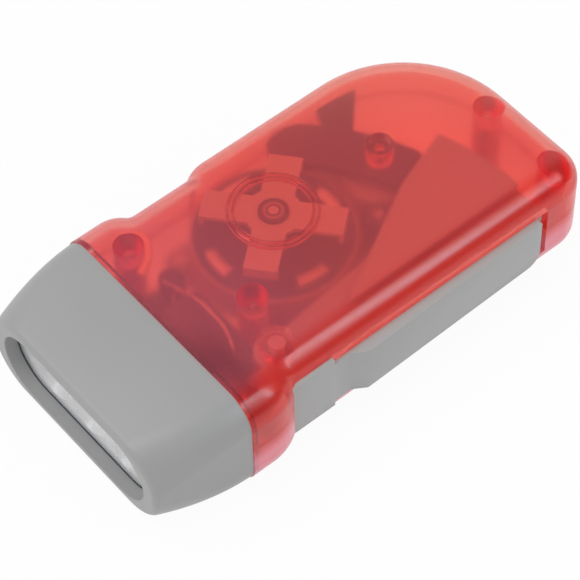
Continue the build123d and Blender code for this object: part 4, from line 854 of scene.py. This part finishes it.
# %% Model one case screw
HEAD_HEIGHT = 1.6 * MM
SHANK = 1.1 * MM
THREAD_STEP = 0.45 * MM
THREAD_SWELL = 1.18
POINT_LENGTH = 1.2 * MM
screw_low, screw_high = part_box("shell_screws")
screw_places = centres_of("shell_screws", 5.5 * MM)
print("case screws:", [(round(place.x / MM, 1), round(place.y / MM, 1)) for place in screw_places])
first_screw = screw_places[0]
screw_axis = (first_screw.x, first_screw.y, 0)
distances = [(corner.co.xy - first_screw.xy).length for corner in nodes["shell_screws"].data.vertices]
head_radius = max(distance for distance in distances if distance < 2.6 * MM)
screw = begin("case_screw", "cylinder", vertices=32, radius=head_radius, depth=HEAD_HEIGHT,
              location=(first_screw.x, first_screw.y, screw_low.z + HEAD_HEIGHT / 2))
pick(screw, lambda middle, way: abs(middle.z - screw_low.z) < 1e-6, "EDGE")
bpy.ops.mesh.bevel(offset=0.35 * MM, segments=3)
pick(screw, lambda middle, normal: normal.z > 0.9)
inset(head_radius - SHANK)
shank_length = screw_high.z - screw_low.z - HEAD_HEIGHT
rises = int((shank_length - POINT_LENGTH) / (2 * THREAD_STEP))
for swell in (THREAD_SWELL, 1 / THREAD_SWELL) * rises:
    draw_out(0, 0, THREAD_STEP)
    bpy.ops.transform.resize(value=(swell, swell, 1), center_override=screw_axis)
draw_out(0, 0, shank_length - rises * 2 * THREAD_STEP)
bpy.ops.transform.resize(value=(0.35, 0.35, 1), center_override=screw_axis)
leave()

# %% Cut the drive and copy the screw
drive = cross_tool("drive_cut", 0.6 * MM, 0.85 * MM, (first_screw.x, first_screw.y, screw_low.z))
pick(drive, lambda middle, normal: normal.z > 0.9)
draw_out(0, 0, 0.7 * MM)
bpy.ops.transform.resize(value=(0.55, 0.55, 1), center_override=screw_axis)
leave()
cut_away(screw, drive)
screw_moves = [Vector((place.x - first_screw.x, place.y - first_screw.y, 0)) for place in screw_places[1:]]
screws = join(copy_to(screw, screw_moves), "case_screws")
complete(screws, "housing", "steel", ["shell_screws"], 30)

# %% [markdown]
# ## Solder
# Every lead ends in a small bright cone of solder. A ball is pressed flat, and its top
# is drawn up to a point; then it is copied to each joint.

# %% Put solder on the boards
COLUMN_PITCH = 4.9 * MM
ROW_PITCH = 1.7 * MM
board_low, board_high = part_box("rectifier_board")
first_joint = Vector((board_low.x + 0.75 * MM, board_low.y + 0.95 * MM, board_high.z))
joint_moves = [Vector((COLUMN_PITCH * column, ROW_PITCH * row, 0)) for column in range(2) for row in range(4)]
drop = begin("solder", "uv_sphere", segments=16, ring_count=8, radius=0.42 * MM, location=first_joint)
pick(drop, lambda middle, normal: middle.z < first_joint.z)
bpy.ops.transform.resize(value=(1, 1, 0.2), center_override=first_joint)
pick(drop, lambda middle, normal: normal.z > 0.85)
bpy.ops.transform.translate(value=(0, 0, 0.18 * MM), use_proportional_edit=True,
                            proportional_size=0.35 * MM)
leave()
solder = join(copy_to(drop, joint_moves[1:]), "solder_joints")
complete(solder, "housing", "steel")

# %% [markdown]
# ## A bright lead and a painted highlight by the nose
# A bare bright lead runs across to the near side. At the far side a pale loop stands in for
# the highlight on the rim of a screw boss: a painted highlight. A short tube is extruded from
# spot to spot, and each new end is turned to halve the corner, so the tube keeps its width.
# The rotate operator turns the other way when no window is open, so the angles are negative.

# %% Lay a wire along spots
def wire(name, spots, radius, finish):
    way = (spots[1] - spots[0]).normalized()
    tilt = Vector((0, 0, 1)).rotation_difference(way).to_euler()
    piece = begin(name, "circle", vertices=12, radius=radius, fill_type="NGON",
                  location=spots[0], rotation=tilt)
    pick(piece, lambda middle, normal: True)
    for index in range(1, len(spots)):
        step = spots[index] - spots[index - 1]
        ahead = spots[min(index + 1, len(spots) - 1)] - spots[index]
        draw_out(*step)
        halved = (step.normalized() + ahead.normalized()).normalized() if ahead.length else way
        for axis, angle in zip("XYZ", way.rotation_difference(halved).to_euler()):
            bpy.ops.transform.rotate(value=-angle, orient_axis=axis, center_override=spots[index])
        way = halved
    leave()
    complete(piece, "housing", finish, sharp=60)


# %% Draw a smooth path through a few knots
def curve_through(knots, steps=5):
    knots = [Vector(knot) * MM for knot in knots]
    path = []
    for index in range(len(knots) - 1):
        before, start = knots[max(index - 1, 0)], knots[index]
        end, after = knots[index + 1], knots[min(index + 2, len(knots) - 1)]
        for step in range(steps):
            t = step / steps
            slope = end - before
            bend = 2 * before - 5 * start + 4 * end - after
            twist = 3 * start - before - 3 * end + after
            path.append(start + 0.5 * (slope * t + bend * t * t + twist * t * t * t))
    return path + [knots[-1]]


# %% Lay the lead and the highlight loop
LEAD_KNOTS = [(-23.2, 9.6, 17.0), (-22.0, 5.0, 17.6), (-21.1, 1.3, 17.8), (-21.0, -2.2, 17.6),
              (-21.7, -6.6, 16.8)]
HIGHLIGHT_LOOP_KNOTS = [(-22.3, 22.6, 17.8), (-21.2, 20.6, 18.8), (-20.9, 18.4, 19.3), (-21.6, 16.0, 19.4),
              (-23.3, 13.9, 19.2), (-26.0, 12.8, 18.4)]
wire("bare_lead", curve_through(LEAD_KNOTS), 0.24 * MM, "steel")
# The pale loop is a painted highlight on the rim of a screw boss.
wire("pale_loop_highlight", curve_through(HIGHLIGHT_LOOP_KNOTS), 0.75 * MM, "amber_wire")

# %% [markdown]
# ## Grip on the lock slider
# The slider under the case has three small ribs for a fingernail. A long bar is
# bevelled until it is nearly round, and copied twice.

# %% Add ribs to the lock slider
RIB_PITCH = 1.1 * MM
RIB_RISE = 0.02 * MM
PAD_Y = -14.6 * MM
lock_low, lock_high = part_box("lock_slider")
pad_x = (lock_low.x + lock_high.x) / 2
bar = begin("lock_rib", "cube", (0.5, 2.6, 0.4), size=1 * MM,
            location=(pad_x - RIB_PITCH, PAD_Y, lock_low.z + RIB_RISE))
round_edges(bar, 0.14 * MM, 3)
ribs = join(copy_to(bar, [Vector((RIB_PITCH * step, 0, 0)) for step in (1, 2)]), "lock_ribs")
complete(ribs, "lock", "grey_plastic")
